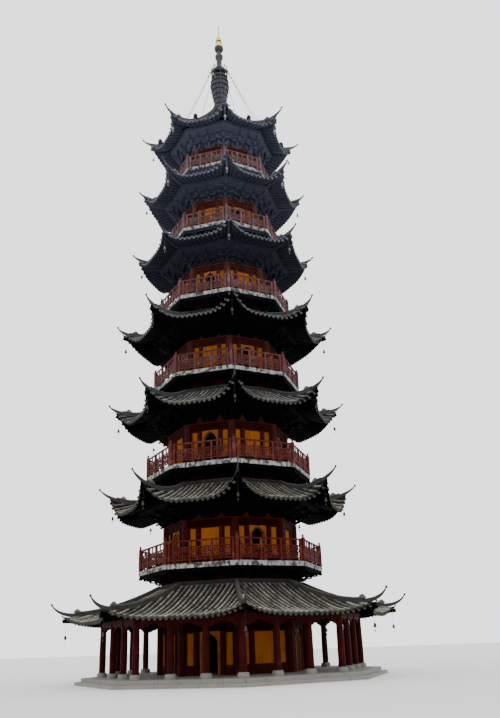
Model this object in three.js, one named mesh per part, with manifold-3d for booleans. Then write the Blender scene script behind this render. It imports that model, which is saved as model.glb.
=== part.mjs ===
// Seven-storey octagonal pagoda of brick and timber, modelled at half the real size.
// Every size below is in metres of the real tower. METRE turns it into model millimetres.
import * as THREE from 'three';
import { mergeVertices } from 'three/addons/utils/BufferGeometryUtils.js';
import Module from 'manifold-3d';

const wasm = await Module();
wasm.setup();

// Scale, symmetry and fit
const METRE = 500;
const SIDES = 8;
const HALF_SIDE_ANGLE = Math.PI / SIDES;
const COS_HALF = Math.cos(HALF_SIDE_ANGLE);
const TAN_HALF = Math.tan(HALF_SIDE_ANGLE);
const GAP = 0.3 / METRE;
const CUT_MARGIN = 0.05;

// Storeys from the ground up: floor level, height of the timber lintel's top above the floor,
// corner radii of the brick wall and of the balcony, then the eave (middle and corner of its lower
// edge), the tip of the hip horn, and the power of the roof's hollow slope, where 1 is straight.
const STOREYS = [
  [0.30, 2.20, 3.45, 0.00, [7.15, 2.55], [8.20, 2.95], [8.77, 3.64], 1.5],
  [5.05, 2.12, 3.20, 4.61, [5.53, 7.55], [6.15, 8.54], [6.69, 9.20], 1.3],
  [9.75, 2.20, 2.99, 4.30, [5.17, 12.26], [5.99, 13.20], [6.36, 13.70], 1.3],
  [14.57, 2.02, 2.78, 3.98, [4.81, 16.95], [5.73, 17.72], [6.05, 18.29], 1.3],
  [19.03, 1.99, 2.57, 3.67, [4.45, 21.65], [4.94, 22.30], [5.30, 22.86], 1.3],
  [23.32, 1.92, 2.36, 3.36, [4.09, 25.92], [4.73, 26.66], [5.01, 27.17], 1.3],
  [27.47, 1.57, 2.15, 3.05, [3.73, 29.79], [4.38, 30.37], [4.86, 30.99], 1.65],
].map(([floor, lintel, wall, balcony, eave, corner, tip, bend]) => (
  { floor, lintel, wall, balcony, eave, corner, tip, bend }
));
const TOP = STOREYS.length - 1;

// Base of dressed stone
const BASE_STEPS = [[7.50, 0.14], [7.20, 0.30]];

// Brick walls and their doorways. Half a door's width is a share of the wall's apothem. The arch is
// in shares of that half width and of the lintel's height.
const GROUND_WALL_THICKNESS = 0.76;
const WALL_THINNING = 0.04;
const DOOR_HALF_WIDTH = 0.12;
const DOOR_ARCH = [[1, 0.59], [0.92, 0.67], [0.5, 0.745]];
const DOOR_APEX = 0.79;

// Balcony floors
const SLAB = 0.37;
const COLLAR_REACH = 0.50;
const COLLAR_DEPTH = 0.22;

// Timber railing: posts, rails and three bays to a side. The handrail is lower on the upper balconies.
const RAIL_TOPS = [0, 1.03, 1.00, 0.96, 0.87, 0.85, 0.80];
const RAIL_SETBACK = 0.025;
const RAIL_THICKNESS = 0.09;
const RAIL_DEPTH = 0.09;
const RAIL_FOOT = 0.10;
const POST_WIDTH = 0.13;
const BAYS = 3;

// Timber frame on the outside of the wall
const COLUMN_REACH = 0.10;
const COLUMN_HALF_WIDTH = 0.17;
const LINTEL_DEPTH = 0.30;
const LINTEL_REACH = 0.14;
const CORBEL_STEPS = 3;

// Tiled roofs
const ROOF_EDGE = 0.20;
const ROOF_ROOT = 0.30;
const ROOF_BELOW_FLOOR = 0.90;
const EAVE_POWER = 4;
const EAVE_STATIONS = [-1, -0.82, -0.55, 0, 0.55, 0.82];
const LIFT_POWER = 2.2;
const SKIRT_ROWS = 2;
const SPIRE_ROWS = 3;
const APEX_APOTHEM = 0.40;
const APEX_HEIGHT = 33.25;

// Ridges along the wall and down the hips
const RIDGE_HEIGHT = 0.24;
const RIDGE_WIDTH = 0.20;
const WALL_RIDGE_HEIGHT = 0.18;
const WALL_RIDGE_WIDTH = 0.20;
const HORN_DEPTH = 0.06;
const HORN_BEND = { along: 0.6, up: 0.45 };
const RIDGE_END_SHARE = 0.7;
const CROWN_HALF_HEIGHT = 1;

// Ground gallery
const GALLERY_APOTHEM = 5.75;
const GALLERY_COLUMN = 0.30;
const GALLERY_COLUMN_SIDES = 8;
const GALLERY_LINTEL = 0.32;

// Iron and gilt finial: eight open rings on a mast, a canopy, a beaded neck and a gilt top
const MAST_RADIUS = 0.13;
const FINIAL_FOOT = 33.50;
const RINGS_FROM = 33.76;
const NECK_FROM = 36.58;
const GOURD_FROM = 38.57;
const FINIAL_TIP = 40.41;
const FINIAL_SEGMENTS = 12;
const RING_HEIGHT = 0.16;
const RING_WIDTH = 0.10;
const SPOKE = 0.05;
const RINGS = [
  [33.88, 0.39], [34.24, 0.45], [34.58, 0.51], [34.94, 0.57],
  [35.29, 0.61], [35.66, 0.59], [36.02, 0.54], [36.42, 0.55],
];
const BASE_PROFILE = [[0.52, FINIAL_FOOT], [0.52, 33.58], [0.36, 33.66], [0.36, RINGS_FROM - GAP]];
const CANOPY_TOP = 36.70;
const NECK_PROFILE = [
  [0.36, NECK_FROM], [0.42, 36.62], [0.42, CANOPY_TOP], [0.24, CANOPY_TOP], [0.14, 37.05], [0.14, 37.76],
  [0.22, 37.86], [0.22, 37.98], [0.14, 38.08], [0.14, 38.21], [0.26, 38.34], [0.26, GOURD_FROM - GAP],
];
const GOURD_PROFILE = [
  [0.235, GOURD_FROM], [0.235, 38.78], [0.185, 38.98], [0.17, 39.14], [0.16, 39.34], [0.05, 39.55],
  [0.025, 39.65], [0.012, FINIAL_TIP],
];

// Iron stays from the canopy to the hips of the top roof
const STAY_COLLAR = [0.26, 0.36];
const STAY_COLLAR_HEIGHT = 0.10;
const STAY_RADIUS = 0.024;
const STAY_HOOK = 0.66;
const STAY_ANCHOR = 3.00;

// Finishes
const FINISH = {
  stone: { color: 0x8f8d86, roughness: 0.9, metalness: 0 },
  plaster: { color: 0xc98a24, roughness: 0.85, metalness: 0 },
  redTimber: { color: 0x6e1f1a, roughness: 0.6, metalness: 0 },
  tile: { color: 0x4a4c4c, roughness: 0.8, metalness: 0 },
  greyTimber: { color: 0x9aa3a0, roughness: 0.85, metalness: 0 },
  iron: { color: 0x2b2f3c, roughness: 0.55, metalness: 0.8 },
  gilt: { color: 0xd9a441, roughness: 0.35, metalness: 1 },
};

const pagoda = new THREE.Group();
pagoda.name = 'pagoda';

// Mesh helpers

// Turns a closed geometry into a solid, with its faces pointing out.
function solid(geometry) {
  const bare = geometry.clone();
  bare.deleteAttribute('normal');
  bare.deleteAttribute('uv');
  const merged = mergeVertices(bare, 1e-6);
  const place = merged.attributes.position.array;
  const index = merged.index.array;
  const triangles = [];
  let volume = 0;
  const corner = [new THREE.Vector3(), new THREE.Vector3(), new THREE.Vector3()];
  for (let i = 0; i < index.length; i += 3) {
    const [a, b, c] = [index[i], index[i + 1], index[i + 2]];
    if (a === b || b === c || c === a) continue;
    corner.forEach((point, at) => point.fromArray(place, 3 * index[i + at]));
    volume += corner[0].dot(corner[1].clone().cross(corner[2]));
    triangles.push(a, b, c);
  }
  if (volume < 0) {
    for (let i = 0; i < triangles.length; i += 3) {
      [triangles[i], triangles[i + 1]] = [triangles[i + 1], triangles[i]];
    }
  }
  const mesh = new wasm.Mesh({
    numProp: 3,
    vertProperties: new Float32Array(place),
    triVerts: new Uint32Array(triangles),
  });
  return new wasm.Manifold(mesh);
}

// Adds one solid to the pagoda as a named mesh, scaled from metres to model millimetres.
function addPart(name, body, finish) {
  const mesh = body.getMesh();
  const geometry = new THREE.BufferGeometry();
  geometry.setAttribute('position', new THREE.BufferAttribute(new Float32Array(mesh.vertProperties), 3));
  geometry.setIndex(new THREE.BufferAttribute(new Uint32Array(mesh.triVerts), 1));
  geometry.scale(METRE, METRE, METRE);
  geometry.computeVertexNormals();
  const part = new THREE.Mesh(geometry, new THREE.MeshStandardMaterial(FINISH[finish]));
  part.name = name;
  pagoda.add(part);
}

function joined(bodies) {
  return bodies.reduce((whole, body) => whole.add(body));
}

// Turns a profile of [radius, height] points round the vertical axis. Eight segments give an
// octagon whose flat sides face the X and Y axes and the diagonals.
function turned(profile, segments = SIDES) {
  const points = profile.map(([radius, height]) => new THREE.Vector2(radius, height));
  const start = segments === SIDES ? HALF_SIDE_ANGLE : 0;
  const geometry = new THREE.LatheGeometry(points, segments, start);
  geometry.rotateX(Math.PI / 2);
  return solid(geometry);
}

// An octagonal ring with a closed profile of [apothem, height] points.
function octagonRing(profile) {
  const closed = [...profile, profile[0]];
  return turned(closed.map(([apothem, height]) => [apothem / COS_HALF, height]));
}

function octagonPlate(profile) {
  return turned(profile.map(([apothem, height]) => [apothem / COS_HALF, height]));
}

// Turns a geometry made for the side that faces -Y to another side, or to a corner with a half.
function turnToSide(geometry, side) {
  return geometry.clone().rotateZ(side * 2 * HALF_SIDE_ANGLE);
}

// Extrudes an outline in (lateral, height) through a wall on the side that faces -Y.
function throughWall(outline, nearApothem, farApothem) {
  const shape = new THREE.Shape(outline.map(([x, z]) => new THREE.Vector2(x, z)));
  const geometry = new THREE.ExtrudeGeometry(shape, { depth: farApothem - nearApothem, bevelEnabled: false });
  geometry.rotateX(Math.PI / 2);
  geometry.translate(0, -nearApothem, 0);
  return geometry;
}

// Extrudes an outline in (radius, height) to a blade that stands along the -Y direction.
function blade(outline, width) {
  const shape = new THREE.Shape(outline.map(([radius, z]) => new THREE.Vector2(radius, z)));
  const geometry = new THREE.ExtrudeGeometry(shape, { depth: width, bevelEnabled: false });
  geometry.translate(0, 0, -width / 2);
  geometry.rotateX(Math.PI / 2);
  geometry.rotateZ(-Math.PI / 2);
  return geometry;
}

function box(fromX, toX, fromY, toY, fromZ, toZ) {
  const geometry = new THREE.BoxGeometry(toX - fromX, toY - fromY, toZ - fromZ);
  return geometry.translate((fromX + toX) / 2, (fromY + toY) / 2, (fromZ + toZ) / 2);
}

// Sizes that follow from the driving ones

function wallApothem(level) {
  return STOREYS[level].wall * COS_HALF;
}

function wallTop(level) {
  if (level === TOP) {
    return roofUnderside(level, wallApothem(level)) - GAP;
  }
  return STOREYS[level + 1].floor - SLAB - GAP;
}

function roofRoot(level) {
  const apothem = level === TOP ? APEX_APOTHEM : wallApothem(level) + GAP;
  const height = level === TOP ? APEX_HEIGHT : STOREYS[level + 1].floor - ROOF_BELOW_FLOOR;
  return [apothem, height];
}

// A point on the tiles: across runs from -1 to 1 between two hips, down from 0 at the wall to 1
// at the eave. The slope is hollow, and near the hips the eave swings out and up.
function roofPoint(level, across, down) {
  const { eave, corner, bend } = STOREYS[level];
  const [rootApothem, rootHeight] = roofRoot(level);
  const swing = Math.abs(across) ** EAVE_POWER;
  const eaveApothem = eave[0] + (corner[0] * COS_HALF - eave[0]) * swing;
  const apothem = rootApothem + (eaveApothem - rootApothem) * down;
  const fall = (rootHeight - eave[1] - ROOF_EDGE) * (1 - (1 - down) ** bend);
  const lift = (corner[1] - eave[1]) * swing * down ** LIFT_POWER;
  return { apothem, lateral: apothem * TAN_HALF * across, height: rootHeight - fall + lift };
}

function roofThickness(down) {
  return ROOF_EDGE + (ROOF_ROOT - ROOF_EDGE) * (1 - down);
}

function roofRows(level) {
  return level === TOP ? SPIRE_ROWS : SKIRT_ROWS;
}

// Height of the roof's underside over the middle of a side, straight from row to row of its mesh.
function roofUnderside(level, apothem) {
  const rows = roofRows(level);
  const rootApothem = roofRoot(level)[0];
  const place = (rows * (apothem - rootApothem)) / (STOREYS[level].eave[0] - rootApothem);
  const row = Math.min(Math.floor(place), rows - 1);
  const heightAt = (station) => roofPoint(level, 0, station / rows).height - roofThickness(station / rows);
  return heightAt(row) + (place - row) * (heightAt(row + 1) - heightAt(row));
}

// Stations down a hip: radius and height of the tiles there.
function hipLine(level) {
  const rows = roofRows(level);
  return Array.from({ length: rows + 1 }, (_, row) => {
    const { apothem, height } = roofPoint(level, 1, row / rows);
    return [apothem / COS_HALF, height];
  });
}

// Base, walls and floors

function buildBase() {
  const [[lowRadius, lowTop], [highRadius, highTop]] = BASE_STEPS;
  addPart('base_platform', turned([
    [0, 0], [lowRadius, 0], [lowRadius, lowTop], [highRadius, lowTop], [highRadius, highTop], [0, highTop],
  ]), 'stone');
}

function doorOutline(level) {
  const { floor, lintel } = STOREYS[level];
  const half = DOOR_HALF_WIDTH * wallApothem(level);
  const arch = [...DOOR_ARCH, [0, DOOR_APEX]].map(([x, z]) => [x * half, floor + z * lintel]);
  const right = [[half, floor - GAP], ...arch.slice(0, -1)];
  const left = right.map(([x, z]) => [-x, z]).reverse();
  return [...right, arch[arch.length - 1], ...left];
}

// Doors stand on four sides of each storey, turned by one side from storey to storey.
function buildWall(level) {
  const { floor } = STOREYS[level];
  const outer = wallApothem(level);
  const inner = outer - (GROUND_WALL_THICKNESS - WALL_THINNING * level);
  const foot = floor + GAP;
  const top = wallTop(level);
  let wall = octagonRing([[outer, foot], [outer, top], [inner, top], [inner, foot]]);
  const opening = throughWall(doorOutline(level), inner - CUT_MARGIN, outer + CUT_MARGIN);
  for (let side = level % 2; side < SIDES; side += 2) {
    wall = wall.subtract(solid(turnToSide(opening, side)));
  }
  addPart(`wall_${level + 1}`, wall, 'plaster');
}

// A floor runs right through the tower and out to the balcony's edge. A collar under it grips
// the top of the wall below.
function buildBalcony(level) {
  const { floor, balcony } = STOREYS[level];
  const edge = balcony * COS_HALF;
  const under = floor - SLAB;
  const grip = wallApothem(level - 1) + GAP;
  addPart(`balcony_${level + 1}`, octagonPlate([
    [0, floor], [edge, floor], [edge, under], [grip + COLLAR_REACH, under],
    [grip + COLLAR_REACH, under - COLLAR_DEPTH], [grip, under - COLLAR_DEPTH], [grip, under], [0, under],
  ]), 'greyTimber');
}

function buildRailing(level) {
  const { floor, balcony } = STOREYS[level];
  const outer = balcony * COS_HALF - RAIL_SETBACK;
  const inner = outer - RAIL_THICKNESS;
  const foot = floor + GAP;
  const top = floor + RAIL_TOPS[level];
  let railing = octagonRing([[outer, foot], [outer, top], [inner, top], [inner, foot]]);
  const pitch = (2 * inner * TAN_HALF - POST_WIDTH) / BAYS;
  const bayHalf = (pitch - POST_WIDTH) / 2;
  const low = floor + RAIL_FOOT;
  const high = top - RAIL_DEPTH;
  for (let side = 0; side < SIDES; side += 1) {
    for (let bay = 0; bay < BAYS; bay += 1) {
      const middle = (bay - (BAYS - 1) / 2) * pitch;
      const gap = box(
        middle - bayHalf, middle + bayHalf, -outer - RAIL_THICKNESS, -inner + RAIL_THICKNESS, low, high,
      );
      railing = railing.subtract(solid(turnToSide(gap, side)));
    }
  }
  addPart(`railing_${level + 1}`, railing, 'redTimber');
}

// Timber frame: corner columns, the lintel round the wall and stepped corbels under the eave
function buildFrame(level) {
  const { floor, lintel, eave } = STOREYS[level];
  const face = wallApothem(level) + GAP;
  const outermost = (face + eave[0]) / 2;
  const top = roofUnderside(level, outermost) - GAP;
  const corbelFoot = floor + lintel;
  const lintelFoot = corbelFoot - LINTEL_DEPTH;
  const stepRise = (top - corbelFoot) / CORBEL_STEPS;
  const stepReach = (outermost - face - LINTEL_REACH) / CORBEL_STEPS;
  const profile = [[face, lintelFoot], [face + LINTEL_REACH, lintelFoot]];
  for (let step = 0; step < CORBEL_STEPS; step += 1) {
    const apothem = face + LINTEL_REACH + step * stepReach;
    const height = corbelFoot + step * stepRise;
    profile.push([apothem, height], [apothem + stepReach, height]);
  }
  profile.push([outermost, top], [face, top]);
  const pieces = [octagonRing(profile)];
  const cornerRadius = face / COS_HALF;
  const outerRadius = (face + COLUMN_REACH) / COS_HALF;
  const along = COLUMN_HALF_WIDTH * Math.cos(HALF_SIDE_ANGLE);
  const back = COLUMN_HALF_WIDTH * Math.sin(HALF_SIDE_ANGLE);
  const plan = [
    [0, -cornerRadius], [along, -cornerRadius + back], [along, -outerRadius + back],
    [0, -outerRadius], [-along, -outerRadius + back], [-along, -cornerRadius + back],
  ];
  const shape = new THREE.Shape(plan.map(([x, y]) => new THREE.Vector2(x, y)));
  const columnFoot = floor + GAP;
  const columnTop = corbelFoot - LINTEL_DEPTH / 2;
  const column = new THREE.ExtrudeGeometry(shape, { depth: columnTop - columnFoot, bevelEnabled: false });
  column.translate(0, 0, columnFoot);
  for (let corner = 0; corner < SIDES; corner += 1) {
    pieces.push(solid(turnToSide(column, corner + 0.5)));
  }
  addPart(`frame_${level + 1}`, joined(pieces), 'redTimber');
}

// Columns and lintel of the gallery round the ground storey
function buildGallery() {
  const { floor } = STOREYS[0];
  const half = GALLERY_COLUMN / 2;
  const outer = GALLERY_APOTHEM + half;
  const inner = GALLERY_APOTHEM - half;
  const top = roofUnderside(0, outer) - GAP;
  const under = top - GALLERY_LINTEL;
  const pieces = [octagonRing([[outer, under], [outer, top], [inner, top], [inner, under]])];
  const pitch = (2 * GALLERY_APOTHEM * TAN_HALF) / BAYS;
  const columnTop = under + GALLERY_LINTEL / 2;
  const columnFoot = floor + GAP;
  const shaft = new THREE.CylinderGeometry(half, half, columnTop - columnFoot, GALLERY_COLUMN_SIDES);
  shaft.rotateX(Math.PI / 2);
  shaft.translate(0, -GALLERY_APOTHEM, (columnTop + columnFoot) / 2);
  for (let side = 0; side < SIDES; side += 1) {
    for (let bay = 0; bay < BAYS; bay += 1) {
      const column = shaft.clone().translate((bay - BAYS / 2) * pitch, 0, 0);
      pieces.push(solid(turnToSide(column, side)));
    }
  }
  addPart('gallery_frame', joined(pieces), 'redTimber');
}

// Roofs and ridges

function buildRoof(level) {
  const rows = roofRows(level);
  const columns = SIDES * EAVE_STATIONS.length;
  const layer = (rows + 1) * columns;
  const position = [];
  for (const depth of [0, 1]) {
    for (let row = 0; row <= rows; row += 1) {
      for (let side = 0; side < SIDES; side += 1) {
        const turn = side * 2 * HALF_SIDE_ANGLE;
        for (const across of EAVE_STATIONS) {
          const down = row / rows;
          const { apothem, lateral, height } = roofPoint(level, across, down);
          const x = lateral * Math.cos(turn) + apothem * Math.sin(turn);
          const y = lateral * Math.sin(turn) - apothem * Math.cos(turn);
          position.push(x, y, height - depth * roofThickness(down));
        }
      }
    }
  }
  const at = (depth, row, column) => depth * layer + row * columns + (column % columns);
  const index = [];
  const quad = (a, b, c, d) => index.push(a, b, c, a, c, d);
  for (let column = 0; column < columns; column += 1) {
    for (let row = 0; row < rows; row += 1) {
      quad(at(0, row, column), at(0, row + 1, column), at(0, row + 1, column + 1), at(0, row, column + 1));
      quad(at(1, row, column), at(1, row, column + 1), at(1, row + 1, column + 1), at(1, row + 1, column));
    }
    quad(at(0, rows, column), at(1, rows, column), at(1, rows, column + 1), at(0, rows, column + 1));
    quad(at(0, 0, column), at(0, 0, column + 1), at(1, 0, column + 1), at(1, 0, column));
  }
  const geometry = new THREE.BufferGeometry();
  geometry.setAttribute('position', new THREE.BufferAttribute(new Float32Array(position), 3));
  geometry.setIndex(index);
  addPart(`roof_${level + 1}`, solid(geometry), 'tile');
}

// Side view of a hip ridge: it rides on the hip and ends in a horn that sweeps up past the eave.
function ridgeOutline(level) {
  const { tip } = STOREYS[level];
  const stations = hipLine(level);
  const [hipRadius, hipHeight] = stations[stations.length - 1];
  const sweep = [
    hipRadius + (tip[0] - hipRadius) * HORN_BEND.along,
    hipHeight + (tip[1] - hipHeight) * HORN_BEND.up,
  ];
  const under = stations.map(([radius, height]) => [radius, height + GAP]);
  const over = stations.map(([radius, height]) => [radius, height + RIDGE_HEIGHT]);
  over[over.length - 1][1] = hipHeight + RIDGE_HEIGHT * RIDGE_END_SHARE;
  return [...under, [sweep[0], sweep[1] - HORN_DEPTH], [tip[0], tip[1] - HORN_DEPTH], tip,
    [sweep[0], sweep[1] + HORN_DEPTH], ...over.reverse()];
}

function buildRidges(level) {
  const [rootApothem, rootHeight] = roofRoot(level);
  const near = level === TOP ? rootApothem : wallApothem(level) + GAP;
  const far = near + WALL_RIDGE_WIDTH;
  const foot = rootHeight + GAP;
  const top = rootHeight + (level === TOP ? RIDGE_HEIGHT : WALL_RIDGE_HEIGHT);
  const pieces = [octagonRing([[near, foot], [far, foot], [far, top], [near, top]])];
  const ridge = blade(ridgeOutline(level), RIDGE_WIDTH);
  const low = foot - CROWN_HALF_HEIGHT;
  const high = foot + CROWN_HALF_HEIGHT;
  const heart = octagonPlate([[0, low], [near, low], [near, high], [0, high]]);
  for (let corner = 0; corner < SIDES; corner += 1) {
    pieces.push(solid(turnToSide(ridge, corner + 0.5)).subtract(heart));
  }
  addPart(`ridges_${level + 1}`, joined(pieces), 'tile');
}

// Finial

// A round solid from foot to head whose outline is given from the bottom up.
function turnedOnAxis(outline) {
  const foot = outline[0][1];
  const head = outline[outline.length - 1][1];
  return turned([[0, foot], ...outline, [0, head]], FINIAL_SEGMENTS);
}

function ringAroundMast(radius, inner, low, high, segments) {
  return turned([[radius, low], [radius, high], [inner, high], [inner, low], [radius, low]], segments);
}

// An open ring round the mast, held by four spokes.
function spokedRing(middle, radius) {
  const inner = radius - RING_WIDTH;
  const low = middle - RING_HEIGHT / 2;
  const high = middle + RING_HEIGHT / 2;
  const quarter = [
    [SPOKE / 2, SPOKE / 2], [inner, SPOKE / 2],
    [inner * Math.SQRT1_2, inner * Math.SQRT1_2], [SPOKE / 2, inner],
  ];
  const shape = new THREE.Shape(quarter.map(([x, y]) => new THREE.Vector2(x, y)));
  const opening = new THREE.ExtrudeGeometry(shape, { depth: 2 * RING_HEIGHT, bevelEnabled: false });
  opening.translate(0, 0, middle - RING_HEIGHT);
  let ring = turned([[0, low], [radius, low], [radius, high], [0, high]]);
  for (let corner = 0; corner < SIDES; corner += 2) {
    ring = ring.subtract(solid(turnToSide(opening, corner)));
  }
  return ring;
}

function buildFinial() {
  addPart('finial_base', turnedOnAxis(BASE_PROFILE), 'iron');
  addPart('finial_neck', turnedOnAxis(NECK_PROFILE), 'iron');
  addPart('finial_gourd', turnedOnAxis(GOURD_PROFILE), 'gilt');

  const mastTop = NECK_FROM - GAP;
  const mast = [[0, RINGS_FROM], [MAST_RADIUS, RINGS_FROM], [MAST_RADIUS, mastTop], [0, mastTop]];
  const rings = RINGS.map(([middle, radius]) => spokedRing(middle, radius));
  addPart('finial_rings', joined([turned(mast), ...rings]), 'iron');
}

// Height of the top of a hip ridge on the top roof.
function topRidgeHeight(radius) {
  const stations = hipLine(TOP);
  const next = stations.findIndex(([station]) => station > radius);
  const [[nearRadius, nearHeight], [farRadius, farHeight]] = stations.slice(next - 1, next + 1);
  const share = (radius - nearRadius) / (farRadius - nearRadius);
  return nearHeight + share * (farHeight - nearHeight) + RIDGE_HEIGHT;
}

// Eight stays hang from hooks on a collar and end on the hips of the top roof.
function buildStays() {
  const foot = CANOPY_TOP + GAP;
  const top = CANOPY_TOP + STAY_COLLAR_HEIGHT;
  const [inner, outer] = STAY_COLLAR;
  const near = STAY_ANCHOR - STAY_RADIUS;
  const far = STAY_ANCHOR + STAY_RADIUS;
  const root = (inner + outer) / 2;
  const seat = topRidgeHeight(near) + GAP;
  const outline = [
    [root, foot], [STAY_HOOK - STAY_RADIUS, foot], [near, seat + 2 * STAY_RADIUS], [near, seat],
    [far, seat], [far, seat + 3 * STAY_RADIUS], [STAY_HOOK + STAY_RADIUS, top], [root, top],
  ];
  const stay = blade(outline, 2 * STAY_RADIUS);
  const pieces = [ringAroundMast(outer, inner, foot, top, FINIAL_SEGMENTS)];
  for (let corner = 0; corner < SIDES; corner += 1) {
    pieces.push(solid(turnToSide(stay, corner + 0.5)));
  }
  addPart('stay_chains', joined(pieces), 'iron');
}

buildBase();
buildGallery();
for (let level = 0; level <= TOP; level += 1) {
  if (level > 0) {
    buildBalcony(level);
    buildRailing(level);
    buildFrame(level);
  }
  buildWall(level);
  buildRoof(level);
  buildRidges(level);
}
buildFinial();
buildStays();

export default pagoda;
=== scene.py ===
"""Looks of the seven-storey octagonal pagoda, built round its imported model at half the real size."""
import math
import random
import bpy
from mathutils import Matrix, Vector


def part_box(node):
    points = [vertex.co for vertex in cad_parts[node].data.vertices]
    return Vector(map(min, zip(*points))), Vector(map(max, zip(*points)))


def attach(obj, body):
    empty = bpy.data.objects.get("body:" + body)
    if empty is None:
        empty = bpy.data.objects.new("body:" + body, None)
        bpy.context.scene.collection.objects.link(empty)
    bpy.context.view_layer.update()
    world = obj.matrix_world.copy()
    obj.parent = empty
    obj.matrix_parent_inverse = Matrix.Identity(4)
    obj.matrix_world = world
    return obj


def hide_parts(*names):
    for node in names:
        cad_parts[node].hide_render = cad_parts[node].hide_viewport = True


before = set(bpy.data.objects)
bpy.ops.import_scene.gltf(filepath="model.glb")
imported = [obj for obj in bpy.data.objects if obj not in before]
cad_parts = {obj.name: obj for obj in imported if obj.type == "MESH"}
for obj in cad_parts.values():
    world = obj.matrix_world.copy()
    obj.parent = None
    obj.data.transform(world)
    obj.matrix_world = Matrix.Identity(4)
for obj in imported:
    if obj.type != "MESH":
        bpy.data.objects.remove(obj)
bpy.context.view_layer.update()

from types import SimpleNamespace

import bmesh
import bpy
import numpy as np
from mathutils import Matrix, Vector

# Every size below is in metres of the real tower. SCALE turns it into metres of the model.
SCALE = 0.5
SIDES = 8
TURN = 2 * math.pi / SIDES
COS_HALF = math.cos(TURN / 2)
TAN_HALF = math.tan(TURN / 2)
EVERY_SIDE = range(SIDES)
EVERY_CORNER = [side + 0.5 for side in EVERY_SIDE]
SIDES_AND_CORNERS = [*EVERY_SIDE, *EVERY_CORNER]
BODY = "root"
SEED = 7

# Photograph's view, solved from the corners of the balconies and the tips of the roof horns
CAMERA_DISTANCE = 38.233
CAMERA_HEIGHT = 1.600
CAMERA_PITCH = 21.078
CAMERA_YAW = 1.981
CAMERA_ROLL = -2.0825
FRAME_TURN = 18.9185
LENS = 36.855
SENSOR = 36.0
CLIP_END = 500.0

# Studio
SKY_STRENGTH = 2.2
PANEL_STRENGTH = 0.5
PANEL_SPREAD = 60.0
PANEL_TURN = (18.0, 12.0, 0.0)
FLOOR_HALF = 60.0

# Roofs from the ground up: middle and corner of the eave's lower edge, tip of the hip horn, and
# the power of the hollow slope, where 1 is straight.
ROOFS = [
    [(7.15, 2.55), (8.20, 2.95), (8.77, 3.64), 1.5],
    [(5.53, 7.55), (6.15, 8.62), (6.69, 9.20), 1.3],
    [(5.17, 12.26), (5.99, 13.20), (6.36, 13.70), 1.3],
    [(4.81, 16.95), (5.73, 17.72), (6.05, 18.29), 1.3],
    [(4.45, 21.65), (4.94, 22.38), (5.30, 22.86), 1.3],
    [(4.09, 25.84), (4.73, 26.70), (5.01, 27.17), 1.3],
    [(3.73, 29.79), (4.38, 30.45), (4.86, 30.99), 1.65],
]
TOP = len(ROOFS) - 1
ROOF_EDGE = 0.10
ROOF_ROOT = 0.30
ROOF_BELOW_FLOOR = 0.90
EAVE_POWER = 4.0
EAVE_ROUNDS = 12
LIFT_POWER = 2.2
APEX = (0.40, 33.25)
BOARDS_SHARE = 0.45

# Height of the thin ledge over the head beam of each storey above its floor, how far the wall shows
# above the ledge between the bracket sets, and the top of the handrail above each balcony
LEDGES = [2.20, 2.12, 2.20, 2.02, 1.99, 1.92, 1.57]
HUMPS = [0.26, 0.26, 0.42, 0.26, 0.25, 0.27, 0.29]
RAIL_TOPS = [0, 1.03, 1.00, 0.96, 0.87, 0.85, 0.80]


def make_storeys():
    """The sizes of each storey, taken from the model where a node gives them."""
    storeys = []
    for level, (eave, corner, tip, bend) in enumerate(ROOFS):
        number = level + 1
        low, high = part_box(f"wall_{number}")
        storeys.append(SimpleNamespace(
            level=level, number=number, eave=eave, corner=corner, tip=tip, bend=bend,
            ledge=LEDGES[level], hump=HUMPS[level], rail=RAIL_TOPS[level],
            floor=low[2] / SCALE, wall=high[1] / SCALE,
            balcony=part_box(f"balcony_{number}")[1][1] / SCALE if level else 0.0,
        ))
    for lower, upper in zip(storeys, storeys[1:]):
        lower.root = (lower.wall, upper.floor - ROOF_BELOW_FLOOR)
    storeys[TOP].root = APEX
    return storeys


STOREYS = make_storeys()


# Roof surface. A place on a side is (lateral, out, height), on the side that faces -Y.

def on_side(place, turn):
    """Turns a (lateral, out, height) place to another side. A turn with a half is a corner."""
    lateral, out, height = place
    cos, sin = math.cos(turn * TURN), math.sin(turn * TURN)
    return (lateral * cos + out * sin, lateral * sin - out * cos, height)


def eave_out(storey, across):
    """How far out the eave lies, where across runs from -1 to 1 between two hips."""
    corner_out = storey.corner[0] * COS_HALF
    return storey.eave[0] + (corner_out - storey.eave[0]) * np.abs(across) ** EAVE_POWER


def roof_point(storey, across, down):
    """A point on the tiles, where down runs from 0 at the wall to 1 at the eave."""
    out = storey.root[0] + (eave_out(storey, across) - storey.root[0]) * down
    fall = (storey.root[1] - storey.eave[1] - ROOF_EDGE) * (1 - (1 - down) ** storey.bend)
    lift = (storey.corner[1] - storey.eave[1]) * np.abs(across) ** EAVE_POWER * down ** LIFT_POWER
    return out * TAN_HALF * across, out, storey.root[1] - fall + lift


def roof_thickness(down):
    return ROOF_EDGE + (ROOF_ROOT - ROOF_EDGE) * (1 - down)


def roof_share(storey, lateral, out):
    """Where a place on a side lies on the roof, as (across, down)."""
    across = np.clip(lateral / (out * TAN_HALF), -1, 1)
    down = np.clip((out - storey.root[0]) / (eave_out(storey, across) - storey.root[0]), 0, 1)
    return across, down


def roof_height(storey, lateral, out):
    """Height of the tiles over a place on a side."""
    return float(roof_point(storey, *roof_share(storey, lateral, out))[2])


def boards_height(storey, lateral, out):
    """Height of the underside of the roof's boards."""
    thickness = float(roof_thickness(roof_share(storey, lateral, out)[1]))
    return roof_height(storey, lateral, out) - BOARDS_SHARE * thickness


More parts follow.
